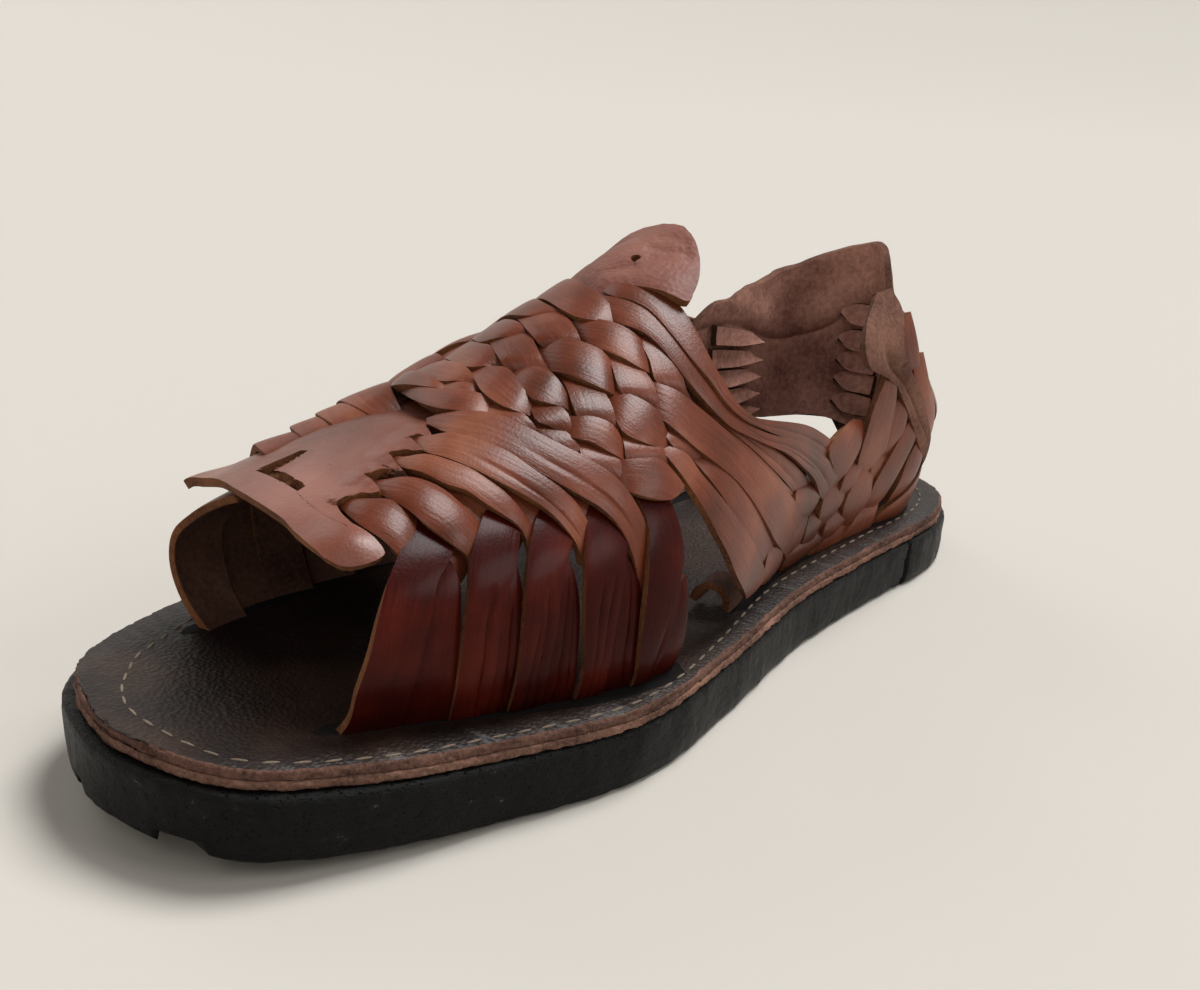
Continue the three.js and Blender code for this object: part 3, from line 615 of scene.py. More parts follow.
    "instep_04": [
        (-55.5, -0.095, -58.5, -0.065, -0.8), (-57, -0.03, -59.5, -0.015, 0.4),
        (-56, 0.015, -58, 0.035, 0.5), (-54, 0.04, -55.5, 0.05, -0.8),
    ],
    "instep_05": [
        (-38, -0.195, -46, -0.17, -0.4), (-42.5, -0.08, -51, -0.065, 0.8),
        (-43.5, -0.035, -51.5, -0.015, 1), (-46, 0.01, -49, 0.01, 0.5), (-47, 0.04, -47, 0.025, -0.8),
    ],
    "instep_06": [
        (-26, -0.225, -33.5, -0.23, -0.4), (-31, -0.115, -41.5, -0.095, 0.7),
        (-33.5, -0.05, -40, -0.055, 1), (-35.5, -0.01, -36.5, -0.025, 0.2), (-36.5, 0.015, -36, 0, -0.8),
    ],
    "instep_13": [
        (-16, -0.27, -24, -0.28, -0.6), (-19, -0.17, -27.5, -0.17, 0.7), (-24.5, -0.06, -30, -0.07, 1),
        (-26, 0.005, -27.5, -0.025, 0.2), (-26.5, 0.035, -26, 0.015, -0.8),
    ],
    "instep_07": [
        (-34, -0.075, -36, -0.155, -1), (-36.5, 0.01, -42, -0.055, 0.5), (-39.5, 0.06, -45.5, 0, 1.1),
        (-41.5, 0.1, -47.5, 0.04, 1), (-42, 0.125, -47.5, 0.05, -0.2), (-42.5, 0.155, -47, 0.07, -1.3),
    ],
    "instep_12": [
        (-23, -0.055, -23, -0.21, -1), (-27, 0.025, -32, -0.065, 0.5), (-29.5, 0.08, -35.5, -0.005, 1.1),
        (-31.5, 0.12, -37.5, 0.045, 0.9), (-31.5, 0.145, -37, 0.06, -0.4), (-32, 0.17, -38, 0.09, -1.3),
    ],
    "instep_10": [
        (-54.5, 0.095, -58.5, 0.085, -1), (-55.5, 0.155, -60, 0.135, 0.3), (-55.5, 0.195, -59.5, 0.18, 0.8),
        (-55.5, 0.225, -58, 0.22, 0.4), (-55.5, 0.255, -56.5, 0.25, -0.8),
    ],
    "instep_11": [
        (-47.5, 0.155, -51.5, 0.155, -1), (-48, 0.215, -53.5, 0.2, 0.4), (-48, 0.25, -54.5, 0.23, 0.9),
        (-49, 0.28, -52.5, 0.26, 0.7), (-49.5, 0.315, -50.5, 0.29, -0.5), (-49.5, 0.35, -50, 0.335, -1.2),
    ],
    "instep_17": [
        (-36.5, 0.215, -41.5, 0.155, -1), (-37.5, 0.26, -43.5, 0.2, 0.5), (-38.5, 0.295, -45.5, 0.24, 1),
        (-39.5, 0.325, -46.5, 0.275, 0.8), (-39, 0.35, -44, 0.295, -0.4), (-39.5, 0.375, -43, 0.32, -1.3),
    ],
    "instep_19": [
        (-24.5, 0.22, -28, 0.16, -1), (-25.5, 0.275, -31, 0.215, 0.5), (-26, 0.31, -33.5, 0.26, 1),
        (-27, 0.34, -34, 0.285, 0.8), (-26.5, 0.365, -31.5, 0.31, -0.4), (-26, 0.395, -30.5, 0.335, -1.3),
    ],
    "instep_21": [
        (-32.5, 0.405, -38.5, 0.34, -1), (-32.5, 0.435, -41, 0.38, 0.6), (-33, 0.455, -42.5, 0.41, 0.7),
        (-31.5, 0.48, -41.5, 0.43, -0.8),
    ],
    "instep_23": [
        (-44.5, 0.345, -49, 0.305, -1), (-44.5, 0.39, -51, 0.345, 0.3), (-44, 0.425, -51.5, 0.37, 0.6),
        (-44.5, 0.46, -48.5, 0.41, 0.2), (-44, 0.49, -46.5, 0.46, -0.9),
    ],
    "instep_24": [
        (-51.5, 0.22, -55, 0.205, -0.9), (-51, 0.28, -55.5, 0.255, 0.2), (-50.5, 0.32, -54, 0.31, 0.4),
        (-50, 0.36, -51.5, 0.355, -0.8),
    ],
    "instep_25": [
        (-14.5, 0.215, -19.5, 0.17, -1), (-16, 0.27, -21, 0.215, 0.4), (-16.5, 0.31, -22.5, 0.26, 0.9),
        (-18, 0.35, -24.5, 0.305, 0.8), (-17, 0.38, -21.5, 0.34, -0.4), (-17, 0.41, -18.5, 0.375, -1.2),
    ],
    "instep_28": [
        (-24.5, 0.395, -28, 0.385, -1), (-24, 0.44, -30, 0.42, 0.4), (-23, 0.475, -29, 0.45, 0.5),
        (-20, 0.51, -25, 0.485, -0.9),
    ],
    "quarter_7": [
        (-9.5, -0.015, -13, 0, -0.8), (-8, 0.03, -15.5, 0.065, 0.8), (-7.5, 0.085, -14.5, 0.115, 1.6),
        (-6.5, 0.135, -13.5, 0.16, 1.8), (-6.5, 0.195, -13.5, 0.205, 1.9), (-7, 0.255, -13.5, 0.26, 1.9),
        (-8, 0.32, -13, 0.32, 2), (-8, 0.38, -11.5, 0.375, 2.2), (-6.5, 0.44, -9.5, 0.435, 2.2),
        (-2, 0.49, -5, 0.485, 2), (4, 0.52, 2, 0.53, 1.8), (17, 0.575, 13, 0.59, 1.5),
        (31, 0.625, 26.5, 0.65, 1.2), (45, 0.67, 40, 0.7, 0.4), (55.5, 0.705, 52.5, 0.75, -1),
    ],
    "quarter_6": [
        (-15, -0.015, -20, 0.085, -1), (-16.5, 0.05, -21, 0.14, 0.6), (-15, 0.105, -19, 0.195, 1.2),
        (-13.5, 0.155, -18, 0.24, 1.3), (-13, 0.205, -17.5, 0.29, 1.3), (-13, 0.265, -17, 0.34, 1.3),
        (-12, 0.325, -15.5, 0.39, 1.2), (-10.5, 0.385, -13, 0.44, 1.2), (-9, 0.44, -10, 0.48, 1.3),
        (-4, 0.495, -4.5, 0.52, 1.4), (3.5, 0.545, 2, 0.56, 1.5), (16, 0.605, 11, 0.61, 1.5),
        (30.5, 0.665, 22, 0.675, 1.4), (43, 0.715, 33.5, 0.735, 1.1), (50, 0.76, 41, 0.79, 0.6),
        (47.5, 0.795, 46, 0.815, 0.1),
    ],
    "quarter_5": [
        (-13.5, 0.4, -15, 0.4, -0.6), (-9.5, 0.455, -13, 0.45, 0.2), (-4.5, 0.505, -9, 0.495, 0.5),
        (2.5, 0.555, -3, 0.55, 0.6), (11.5, 0.62, 4, 0.61, 0.5), (25, 0.7, 13.5, 0.68, 0.2),
        (35, 0.75, 26, 0.755, -0.8),
    ],
    "quarter_4": [
        (-11, 0.445, -13.5, 0.44, -0.8), (-8, 0.495, -11, 0.49, 0.1), (-3, 0.55, -7.5, 0.54, 0.3),
        (4, 0.61, -0.5, 0.6, 0.2), (12.5, 0.68, 7.5, 0.67, 0), (27, 0.765, 22, 0.755, -0.8),
    ],
    "quarter_3": [
        (-25, 0.275, -29, 0.335, -1.2), (-24.5, 0.31, -29, 0.375, 0.6), (-21.5, 0.35, -27.5, 0.415, 1.3),
        (-18, 0.405, -24.5, 0.465, 1.3), (-13, 0.47, -19.5, 0.52, 1.2), (-7, 0.535, -13, 0.585, 1.2),
        (0, 0.6, -7.5, 0.645, 1.2), (8.5, 0.67, -1, 0.715, 1.2), (20.5, 0.75, 8, 0.795, 1),
        (33, 0.815, 27.5, 0.915, 0.6),
    ],
    "quarter_2": [
        (-21, 0.475, -24.5, 0.48, -1), (-19, 0.515, -23, 0.53, 0.4), (-15, 0.56, -20.5, 0.58, 0.9),
        (-10, 0.62, -16.5, 0.645, 0.9), (-3.5, 0.69, -11, 0.71, 0.8), (4.5, 0.765, -1, 0.8, 0.3),
        (18.5, 0.865, 18.5, 0.93, -1),
    ],
    "quarter_1": [
        (-30.5, 0.44, -33, 0.435, 0.4), (-27.5, 0.47, -32, 0.48, 1.2), (-25.5, 0.52, -30, 0.535, 1.2),
        (-22, 0.575, -27.5, 0.595, 1.2), (-17, 0.64, -25, 0.65, 1.1), (-9.5, 0.72, -21, 0.715, 1),
        (-2, 0.795, -16, 0.785, 0.8), (12.5, 0.92, -1, 0.92, 0.3),
    ],
    "quarter_under": [
        (-17, 0.27, -24, 0.33, -2.4), (-14, 0.33, -21, 0.4, -2.2), (-11, 0.4, -17, 0.47, -2.2),
        (-6, 0.46, -12, 0.53, -2), (1, 0.52, -6, 0.59, -1.8), (12, 0.58, 2, 0.66, -1.8),
        (26, 0.64, 14, 0.73, -1.8), (38, 0.69, 28, 0.78, -2),
    ],
    "quarter_2b": [
        (25, 0.845, 13, 0.815, -1), (21.5, 0.87, 5, 0.825, 0.4), (25.5, 0.94, 5.5, 0.865, 0.6),
        (24, 0.995, 12.5, 0.94, 0.2),
    ],
    "heel_01": [
        (38.5, 0.755, 29, 0.74, -1), (40, 0.785, 21, 0.745, 0.6), (37, 0.81, 25, 0.785, 0.9),
        (35, 0.83, 31, 0.83, 0.2), (35, 0.855, 33, 0.86, -0.8),
    ],
    "heel_02": [
        (58.5, 0.78, 49.5, 0.77, -1), (57.5, 0.82, 43, 0.805, 0.7), (54, 0.855, 42.5, 0.835, 1),
        (51, 0.885, 46, 0.875, 0.3), (53.5, 0.93, 49.5, 0.92, -0.8),
    ],
    "heel_03": [
        (48.5, 0.835, 41, 0.835, -0.9), (46.5, 0.865, 36.5, 0.86, 0.6), (45.5, 0.91, 37.5, 0.905, 0.7),
        (47, 0.97, 40.5, 0.95, -0.5),
    ],
    "heel_04": [
        (62.5, 0.86, 54.5, 0.86, -0.9), (63.5, 0.91, 50.5, 0.895, 0.7), (59.5, 0.94, 51, 0.925, 0.8),
        (59, 0.985, 53, 0.965, -0.6),
    ],
    "heel_05": [
        (38, 0.815, 30.5, 0.81, -0.8), (35.5, 0.84, 22.5, 0.82, 0.5), (35.5, 0.89, 24.5, 0.875, 0.6),
        (35.5, 0.95, 29, 0.935, 0),
    ],
    "heel_06": [
        (54.5, 0.915, 45, 0.91, -0.8), (53, 0.945, 36, 0.915, 0.6), (45, 0.965, 27.5, 0.92, 0.8),
        (41.5, 1.015, 31.5, 0.985, 0.2),
    ],
    "heel_07": [
        (70, 0.935, 62, 0.935, -0.8), (70, 0.985, 54, 0.96, 0.6), (65, 1.025, 49, 0.99, 0.8),
        (55, 1.03, 48, 1.03, 0.2),
    ],
    "heel_08": [
        (76, 0.755, 67, 0.75, -0.9), (73, 0.8, 61, 0.795, 0.8), (73.5, 0.86, 58, 0.835, 1.2),
        (70.5, 0.915, 60, 0.88, 0.8), (71.5, 0.97, 65.5, 0.945, -0.6),
    ],
    "heel_09": [
        (85, 0.9, 77, 0.9, -0.8), (83, 0.94, 70, 0.935, 0.7), (82.5, 1.01, 65.5, 0.97, 0.9),
        (75, 1.03, 62.5, 0.995, 0.3), (67.5, 1.03, 62, 1.03, -0.4),
    ],
    "heel_10": [
        (68.5, 0.63, 58, 0.625, -0.8), (62, 0.66, 47, 0.65, 0.8), (59, 0.7, 40, 0.685, 1.3),
        (55, 0.74, 45, 0.73, 1.2), (51.5, 0.77, 46.5, 0.755, 0.3), (53, 0.805, 48, 0.79, -0.8),
    ],
    "heel_11": [
        (68.5, 0.735, 61.5, 0.735, -0.9), (64.5, 0.76, 55, 0.76, 0.5), (61.5, 0.805, 53.5, 0.79, 0.7),
        (60, 0.84, 55.5, 0.825, -0.5),
    ],
    "heel_12": [
        (77, 0.47, 73.5, 0.485, 0.2), (77, 0.52, 69.5, 0.53, 1.2), (76.5, 0.57, 64.5, 0.59, 1.6),
        (75.5, 0.64, 62, 0.645, 1.6), (75.5, 0.7, 61, 0.695, 1.2), (72.5, 0.75, 62, 0.73, 0.5),
        (72.5, 0.795, 66, 0.775, -0.9),
    ],
    "heel_13": [
        (87, 0.52, 82, 0.535, -0.4), (85.5, 0.58, 77, 0.595, 0.8), (84.5, 0.645, 76, 0.66, 1),
        (81.5, 0.7, 76.5, 0.705, 0.5), (81.5, 0.76, 77.5, 0.755, -0.8),
    ],
    "heel_14": [
        (82.5, 0.705, 76, 0.71, -0.8), (79.5, 0.745, 71, 0.745, 0.4), (77, 0.795, 71.5, 0.78, 0.4),
        (78, 0.855, 73.5, 0.84, -0.8),
    ],
    "heel_15": [
        (93, 0.605, 88.5, 0.61, 0.1), (92.5, 0.665, 83.5, 0.67, 1), (90, 0.73, 79, 0.735, 1.2),
        (86.5, 0.81, 74.5, 0.805, 1.2), (83.5, 0.885, 74, 0.865, 0.7), (81.5, 0.935, 74.5, 0.91, -0.7),
    ],
    "heel_16": [
        (101.5, 0.69, 96, 0.69, 0.1), (102, 0.76, 91.5, 0.755, 0.9), (100.5, 0.835, 90.5, 0.825, 1),
        (98, 0.885, 90.5, 0.875, 0.3), (99, 0.945, 91, 0.925, -0.8),
    ],
    "heel_17": [
        (122, 0.74, 116, 0.76, 0.1), (118, 0.84, 108, 0.84, 0.9), (108, 0.93, 96, 0.9, 1.1),
        (96, 0.99, 86.5, 0.95, 0.5), (90.5, 1.03, 83.5, 1, -0.6),
    ],
    "heel_18": [
        (134, 0.78, 127, 0.8, 0.1), (128, 0.88, 118, 0.88, 0.9), (116, 0.97, 104, 0.95, 0.9),
        (104, 1.02, 92, 1, 0.3), (96, 1.03, 84, 1.03, -0.4),
    ],
    "back_1": [
        (85.5, 0.255, 82, 0.29, 0.2), (87, 0.325, 80, 0.365, 0.9), (89, 0.385, 82, 0.415, 0.8),
        (91.5, 0.44, 88, 0.445, -0.6),
    ],
    "back_2": [
        (93, 0.365, 87.5, 0.4, -0.4), (95.5, 0.455, 88, 0.47, 0.5), (99.5, 0.535, 92.5, 0.535, 0.4),
        (108, 0.63, 99, 0.6, -0.6),
    ],
    "back_3": [
        (100.5, 0.495, 95, 0.505, -0.4), (106, 0.595, 95.5, 0.595, 0.5), (111.5, 0.69, 102.5, 0.7, 0.4),
        (118, 0.765, 108, 0.78, -0.6),
    ],
    "counter_flap": [
        (75, 0.25, 81.5, 0.2, -3), (68.5, 0.33, 83.5, 0.245, -1.5), (60.5, 0.41, 80.5, 0.32, 1.2),
        (58, 0.455, 78.5, 0.385, 2.2), (60.5, 0.49, 80, 0.42, 2.2), (69.5, 0.495, 84.5, 0.455, 1.6),
        (77, 0.505, 90.5, 0.505, 1.2), (82.5, 0.55, 96, 0.585, 1.1), (89, 0.62, 107, 0.71, 1.1),
        (97, 0.71, 115, 0.795, 1), (108, 0.81, 125, 0.86, 0.8), (118, 0.9, 131, 0.91, 0),
    ],
}

# Details of the broad straps: rise of the middle, faces across, and creases, each as its place across at
# either end, first and last share of the length, depth, and width across
DETAILS = {
    "upright_1": dict(crown=0.15, across=12, creases=[(0.1, 0.0, 0.02, 0.3, 0.3, 0.35)]),
    "second_1": dict(crown=0.24, across=12, creases=[(0.2, 0.3, 0.0, 0.7, 0.4, 0.3)]),
    "upright_2": dict(crown=0.18, across=14, creases=[(0.35, 0.2, 0.0, 0.6, 0.6, 0.16)]),
    "second_2": dict(crown=0.3, across=14, creases=[(0.3, 0.1, 0.0, 0.8, 0.6, 0.2)]),
    "upright_3": dict(
        crown=0.21, across=18, creases=[(0.5, 0.3, 0.0, 0.6, 0.7, 0.12), (-0.2, 0.0, 0.0, 0.5, 0.5, 0.14)]
    ),
    "second_3": dict(
        crown=0.3, across=16, creases=[(-0.2, 0.1, 0.0, 0.9, 0.7, 0.14), (0.5, 0.5, 0.1, 0.8, 0.4, 0.12)]
    ),
    "upright_4": dict(
        crown=0.24, across=20, creases=[(0.3, 0.5, 0.0, 0.65, 0.5, 0.1), (-0.3, -0.1, 0.0, 0.6, 0.5, 0.1)]
    ),
    "second_4": dict(crown=0.3, across=16, creases=[(0.0, 0.2, 0.0, 0.9, 0.5, 0.14)]),
    "upright_5": dict(crown=0.21, across=14, creases=[(0.5, 0.6, 0.0, 0.4, 0.4, 0.2)]),
    "slot_strap_1": dict(crown=0.6, across=14),
    "slot_strap_2": dict(crown=0.6, across=14),
    "slot_strap_3": dict(crown=0.36, across=14),
    "slot_strap_4": dict(crown=0.24, across=14, creases=[(0.3, 0.5, 0.3, 0.95, 0.35, 0.12)]),
    "slot_strap_5": dict(crown=0.21, across=14, creases=[(0.2, 0.3, 0.3, 0.8, 0.3, 0.1)]),
    "quarter_7": dict(crown=0.24, across=16, creases=[(0.2, 0.0, 0.35, 0.95, 0.5, 0.16)]),
    "quarter_6": dict(
        crown=0.24, across=16, creases=[(0.0, 0.2, 0.4, 1.0, 0.5, 0.16), (0.6, 0.5, 0.4, 0.9, 0.4, 0.12)]
    ),
    "quarter_5": dict(crown=0.18, across=14, creases=[(0.1, 0.3, 0.2, 0.9, 0.5, 0.16)]),
    "quarter_3": dict(crown=0.15, across=12),
    "quarter_1": dict(crown=0.15, across=12),
    "counter_flap": dict(
        crown=0.2, across=18, creases=[(-0.2, 0.3, 0.1, 0.5, 0.9, 0.2), (0.4, -0.1, 0.25, 0.7, 0.7, 0.15)]
    ),
}

# Ends of straps tucked in against the inside of the counter: rows as above, on the inner side
TABS = [
    [
        (67, -girth - 0.09, 67, -girth - 0.03, -6.2),
        (78, -girth - 0.07, 78, -girth - 0.01, -6.8),
        (93, -girth - 0.03, 85, -girth, -6.6),
    ]
    for girth in (0.43, 0.505, 0.575, 0.645, 0.71)
] + [
    [
        (129, -girth, 130, -girth + 0.01, -5.3),
        (134, -girth - 0.04, 134, -girth + 0.04, -5.8),
        (146, -girth - 0.045, 146, -girth + 0.035, -5.8),
    ]
    for girth in (0.325, 0.435, 0.525, 0.61, 0.705)
]

# Loose end of a strap that sticks out of its slot at the arch
LOOSE_END = [
    (-6, 1.02, 4, 1.02, -9),
    (-5, 0.97, 5, 0.98, -9.5),
    (-3, 0.93, 7, 0.94, -7),
    (-2, 0.95, 8, 0.96, -3.5),
    (-1, 1.0, 9, 1.0, -1.5),
]
END_SUNK = 2.4  # depth of the upper strap ends in the counter


def named(*starts):
    """Straps whose names begin with one of the starts, with their details."""
    return [(rows, DETAILS.get(name, {})) for name, rows in STRAPS.items() if name.startswith(starts)]


def under_strap(rows):
    """Strap seen in the gap in front of a slot strap: it runs under that strap's front edge."""
    table = np.array(rows[1:-1])
    one, other = table[:, :2], table[:, 2:4]
    return np.column_stack([(one + other) / 2, other + (other - one) * 0.9, table[:, 4] - BENEATH])


def further_back(rows, shift):
    """Rows moved on round the heel, with the upper end sunk into the counter."""
    moved = np.array(rows, float) + (shift, 0, shift, 0, 0)
    moved[0, 4] -= END_SUNK
    return moved


def linear(hex_colour):
    """Linear RGBA of an sRGB hex colour."""
    channels = [int(hex_colour[i : i + 2], 16) / 255 for i in (1, 3, 5)]
    return [c / 12.92 if c <= 0.04045 else ((c + 0.055) / 1.055) ** 2.4 for c in channels] + [1]


def feed(tree, node, inputs):
    """Sets inputs of a node to values, or links them from sockets."""
    for key, value in inputs.items():
        if isinstance(value, bpy.types.NodeSocket):
            tree.links.new(value, node.inputs[key])
        else:
            node.inputs[key].default_value = value


def add(tree, kind, inputs=None, output=0, **settings):
    """Output socket of a new node of a kind, with its inputs and settings."""
    node = tree.nodes.new(kind)
    for key, value in settings.items():
        setattr(node, key, value)
    feed(tree, node, inputs or {})
    return node.outputs[output]


def maths(tree, operation, *values):
    """Result of an operation on values or sockets."""
    return add(tree, "ShaderNodeMath", dict(enumerate(values)), operation=operation)


def mottle(tree, place_on, size_mm, detail, roughness=0.5):
    """Noise with patches of a size in millimetres."""
    inputs = {"Vector": place_on, "Scale": 1000 / size_mm, "Detail": detail, "Roughness": roughness}
    return add(tree, "ShaderNodeTexNoise", inputs)


def cells(tree, place_on, size_mm):
    """Cells of a size in millimetres, as the distance from their middles."""
    return add(tree, "ShaderNodeTexVoronoi", {"Vector": place_on, "Scale": 1000 / size_mm})


def between(tree, value, low, high):
    """Share from 0 to 1, turned into a value from low to high."""
    return add(tree, "ShaderNodeMapRange", {"Value": value, "To Min": low, "To Max": high})


def raised(tree, height, strength, depth_mm):
    """Normals of a surface raised by a height."""
    inputs = {"Height": height, "Strength": strength, "Distance": depth_mm * MM}
    return add(tree, "ShaderNodeBump", inputs)


def new_material(name):
    """New material with its node tree and its shader."""
    material = bpy.data.materials.new(name)
    material.use_nodes = True
    return material, material.node_tree, material.node_tree.nodes["Principled BSDF"]


def ramp(tree, fac, stops):
    """Colour from a ramp of (position, hex) stops."""
    node = tree.nodes.new("ShaderNodeValToRGB")
    feed(tree, node, {"Fac": fac})
    elements = node.color_ramp.elements
    elements[0].position, elements[0].color = stops[0][0], linear(stops[0][1])
    elements[1].position, elements[1].color = stops[-1][0], linear(stops[-1][1])
    for position, colour in stops[1:-1]:
        elements.new(position).color = linear(colour)
    return node.outputs["Color"]


def waxed_strap_leather(name, dark, mid, light, specular):
    """Vegetable-tanned strap leather, waxed: red-brown with darker patches, fine lengthwise wrinkles and a
    soft broad gloss."""
    material, tree, shader = new_material(name)
    uv = add(tree, "ShaderNodeUVMap")
    place_on = add(tree, "ShaderNodeTexCoord", output="Object")
    # UV is in millimetres: wrinkles about 1 mm apart across the strap and 14 mm long
    lengthwise = add(tree, "ShaderNodeMapping", {"Vector": uv, "Scale": (1 / 14, 1, 1)})
    fine_lines = {"Vector": lengthwise, "Scale": 1.0, "Detail": 4.0, "Roughness": 0.6}
    wrinkles = add(tree, "ShaderNodeTexNoise", fine_lines)
    patches = mottle(tree, place_on, 22, 5)
    pores = cells(tree, place_on, 0.7)
    tone = maths(tree, "MULTIPLY", maths(tree, "MULTIPLY_ADD", patches, 4.0, wrinkles), 0.2)
    height = maths(tree, "MULTIPLY_ADD", pores, 0.25, wrinkles)
    looks = {
        "Base Color": ramp(tree, tone, [(0.32, dark), (0.5, mid), (0.68, light)]),
        "Roughness": between(tree, patches, 0.28, 0.5),
        "Normal": raised(tree, height, 0.35, 0.4),
        "Specular IOR Level": specular,
        "Coat Weight": 0.07,
        "Coat Roughness": 0.2,
    }
    feed(tree, shader, looks)
    return material


def raw_leather(name, dark, light, grit_mm, depth_mm):
    """Cut edge or flesh side of leather: matt, fibrous, mottled."""
    material, tree, shader = new_material(name)
    place_on = add(tree, "ShaderNodeTexCoord", output="Object")
    fibres = mottle(tree, place_on, grit_mm, 6, 0.7)
    patches = mottle(tree, place_on, 18, 4)
    tone = maths(tree, "MULTIPLY", maths(tree, "ADD", fibres, patches), 0.5)
    looks = {
        "Base Color": ramp(tree, tone, [(0.36, dark), (0.64, light)]),
        "Roughness": 0.9,
        "Normal": raised(tree, fibres, 0.6, depth_mm),
        "Specular IOR Level": 0.25,
    }
    feed(tree, shader, looks)
    return material


def grained_leather(name, dark, mid, light, grain_mm, rough, coat, depth_mm):
    """Full-grain leather with its natural grain of small raised cells."""
    material, tree, shader = new_material(name)
    place_on = add(tree, "ShaderNodeTexCoord", output="Object")
    patches = mottle(tree, place_on, 30, 6)
    grain = cells(tree, place_on, grain_mm)
    fine = mottle(tree, place_on, grain_mm * 2.5, 5)
    looks = {
        "Base Color": ramp(tree, patches, [(0.32, dark), (0.5, mid), (0.7, light)]),
        "Roughness": between(tree, fine, rough - 0.1, rough + 0.12),
        "Normal": raised(tree, maths(tree, "ADD", grain, fine), 0.4, depth_mm),
        "Specular IOR Level": 0.25,
        "Coat Weight": coat,
        "Coat Roughness": 0.3,
    }
    feed(tree, shader, looks)
    return material


def cut_tyre_rubber():
    """Tyre rubber cut with a knife: near black, satin, with pits and drag marks, and pale specks in its
    colour that are painted glints.
    """
    material, tree, shader = new_material("cut tyre rubber")
    place_on = add(tree, "ShaderNodeTexCoord", output="Object")
    flat = add(tree, "ShaderNodeMapping", {"Vector": place_on, "Scale": (1, 1, 1.6)})
    drag = mottle(tree, flat, 4, 7, 0.7)
    pits = add(tree, "ShaderNodeMapRange", {"Value": cells(tree, place_on, 1.2), "From Max": 0.25})
    # Near-black tones of the rubber; the pale last stop paints glints as specks in the colour
    stops = [(0.35, "#030303"), (0.58, "#090908"), (0.66, "#171614"), (0.71, "#5e5a54")]
    looks = {
        "Base Color": ramp(tree, drag, stops),
        "Roughness": between(tree, drag, 0.25, 0.6),
        "Normal": raised(tree, maths(tree, "ADD", drag, pits), 1.0, 0.8),
        "Specular IOR Level": 0.12,
    }
    feed(tree, shader, looks)
    return material


strap_leather = waxed_strap_leather("waxed strap leather", "#45200f", "#67311e", "#854e36", 0.24)
# Darker copy of the strap leather for the outer toe fan: its extra darkness is painted shade, for the side of
# the fan that faces away from the lamps
shaded_fan_leather = waxed_strap_leather("waxed strap leather with painted shade", "#200503", "#360a05", "#4e160b", 0.06)
raw_edge = raw_leather("raw cut edge", "#3a1e13", "#855432", 0.8, 0.2)
flesh_side = raw_leather("flesh side", "#2e1a13", "#5f4033", 1.2, 0.3)
plate_leather = grained_leather(
    "grained plate leather", "#5c2f22", "#794738", "#935f50",
    grain_mm=0.7, rough=0.4, coat=0.25, depth_mm=0.14,
)
tongue_leather = grained_leather(
    "pebbled tongue leather", "#5a2e22", "#76463a", "#8f6052",
    grain_mm=1.3, rough=0.55, coat=0.05, depth_mm=0.4,
)
wing_leather = raw_leather("matt counter leather", "#4a2c22", "#7f5a49", 1.4, 0.35)
# Flesh side of the counter: paler than its grain side, and made paler still as painted light, where the lamps
# leave the inside of the counter in shade
counter_flesh_with_painted_light = raw_leather("flesh side of the counter, lightened with painted light", "#80564a", "#cc9886", 1.6, 0.4)
footbed_leather = grained_leather(
    "dark footbed leather", "#0e0705", "#1b100b", "#312017",
    grain_mm=1.0, rough=0.5, coat=0.08, depth_mm=0.5,
)
sole_edge = raw_leather("raw sole edge", "#38231c", "#96705f", 0.9, 1.0)
insole_edge = raw_leather("dark insole edge", "#2e1c15", "#79574a", 0.9, 0.8)
rubber = cut_tyre_rubber()
thread = raw_leather("waxed linen thread", "#574a3f", "#8c7d6d", 0.5, 0.1)
# Near-black matt sheet for the slot mouths: painted shade where the slots' recesses would be dark
slot_shade_paint = raw_leather("painted shade in the slot mouths", "#050302", "#0d0907", 1.0, 0.2)

strap_set = [strap_leather, raw_edge, flesh_side]
strap_piece("inner_toe_fan", inner_fan_straps(), strap_set)
plait = [(along_route(places), {"crown": 0.4}) for places in plait_routes()]
strap_piece("inner_plait_and_quarter", plait, strap_set)
beneath = [(under_strap(STRAPS[f"slot_strap_{k}"]), {}) for k in (2, 3, 4, 5)]
# Outer fan in the darker copy of the strap leather, which carries painted shade
strap_piece("outer_toe_fan", named("upright", "second"), [shaded_fan_leather, raw_edge, flesh_side])
strap_piece("outer_slot_straps", named("slot_strap") + beneath, strap_set)
strap_piece("instep_plait", named("instep"), strap_set)
strap_piece("outer_quarter", named("quarter") + [(LOOSE_END, {})], strap_set)
round_the_back = [(further_back(STRAPS["heel_18"], shift), {}) for shift in (13, 26)]
round_the_back += [(further_back(STRAPS["back_3"], shift), {}) for shift in (14, 28)]
strap_piece("heel_braid", named("heel", "back") + round_the_back, strap_set)
# The counter's inner face takes the flesh side lightened with painted light
wing_set = [wing_leather, wing_leather, counter_flesh_with_painted_light]
strap_piece("counter_wing", named("counter_flap"), wing_set, "heel_counter")
# The tabs' back faces take the counter flesh side lightened with painted light
tabs = [(rows, {"tilt": 0.5}) for rows in TABS]
strap_piece("tabs_inside_the_counter", tabs, [wing_leather, flesh_side, counter_flesh_with_painted_light])

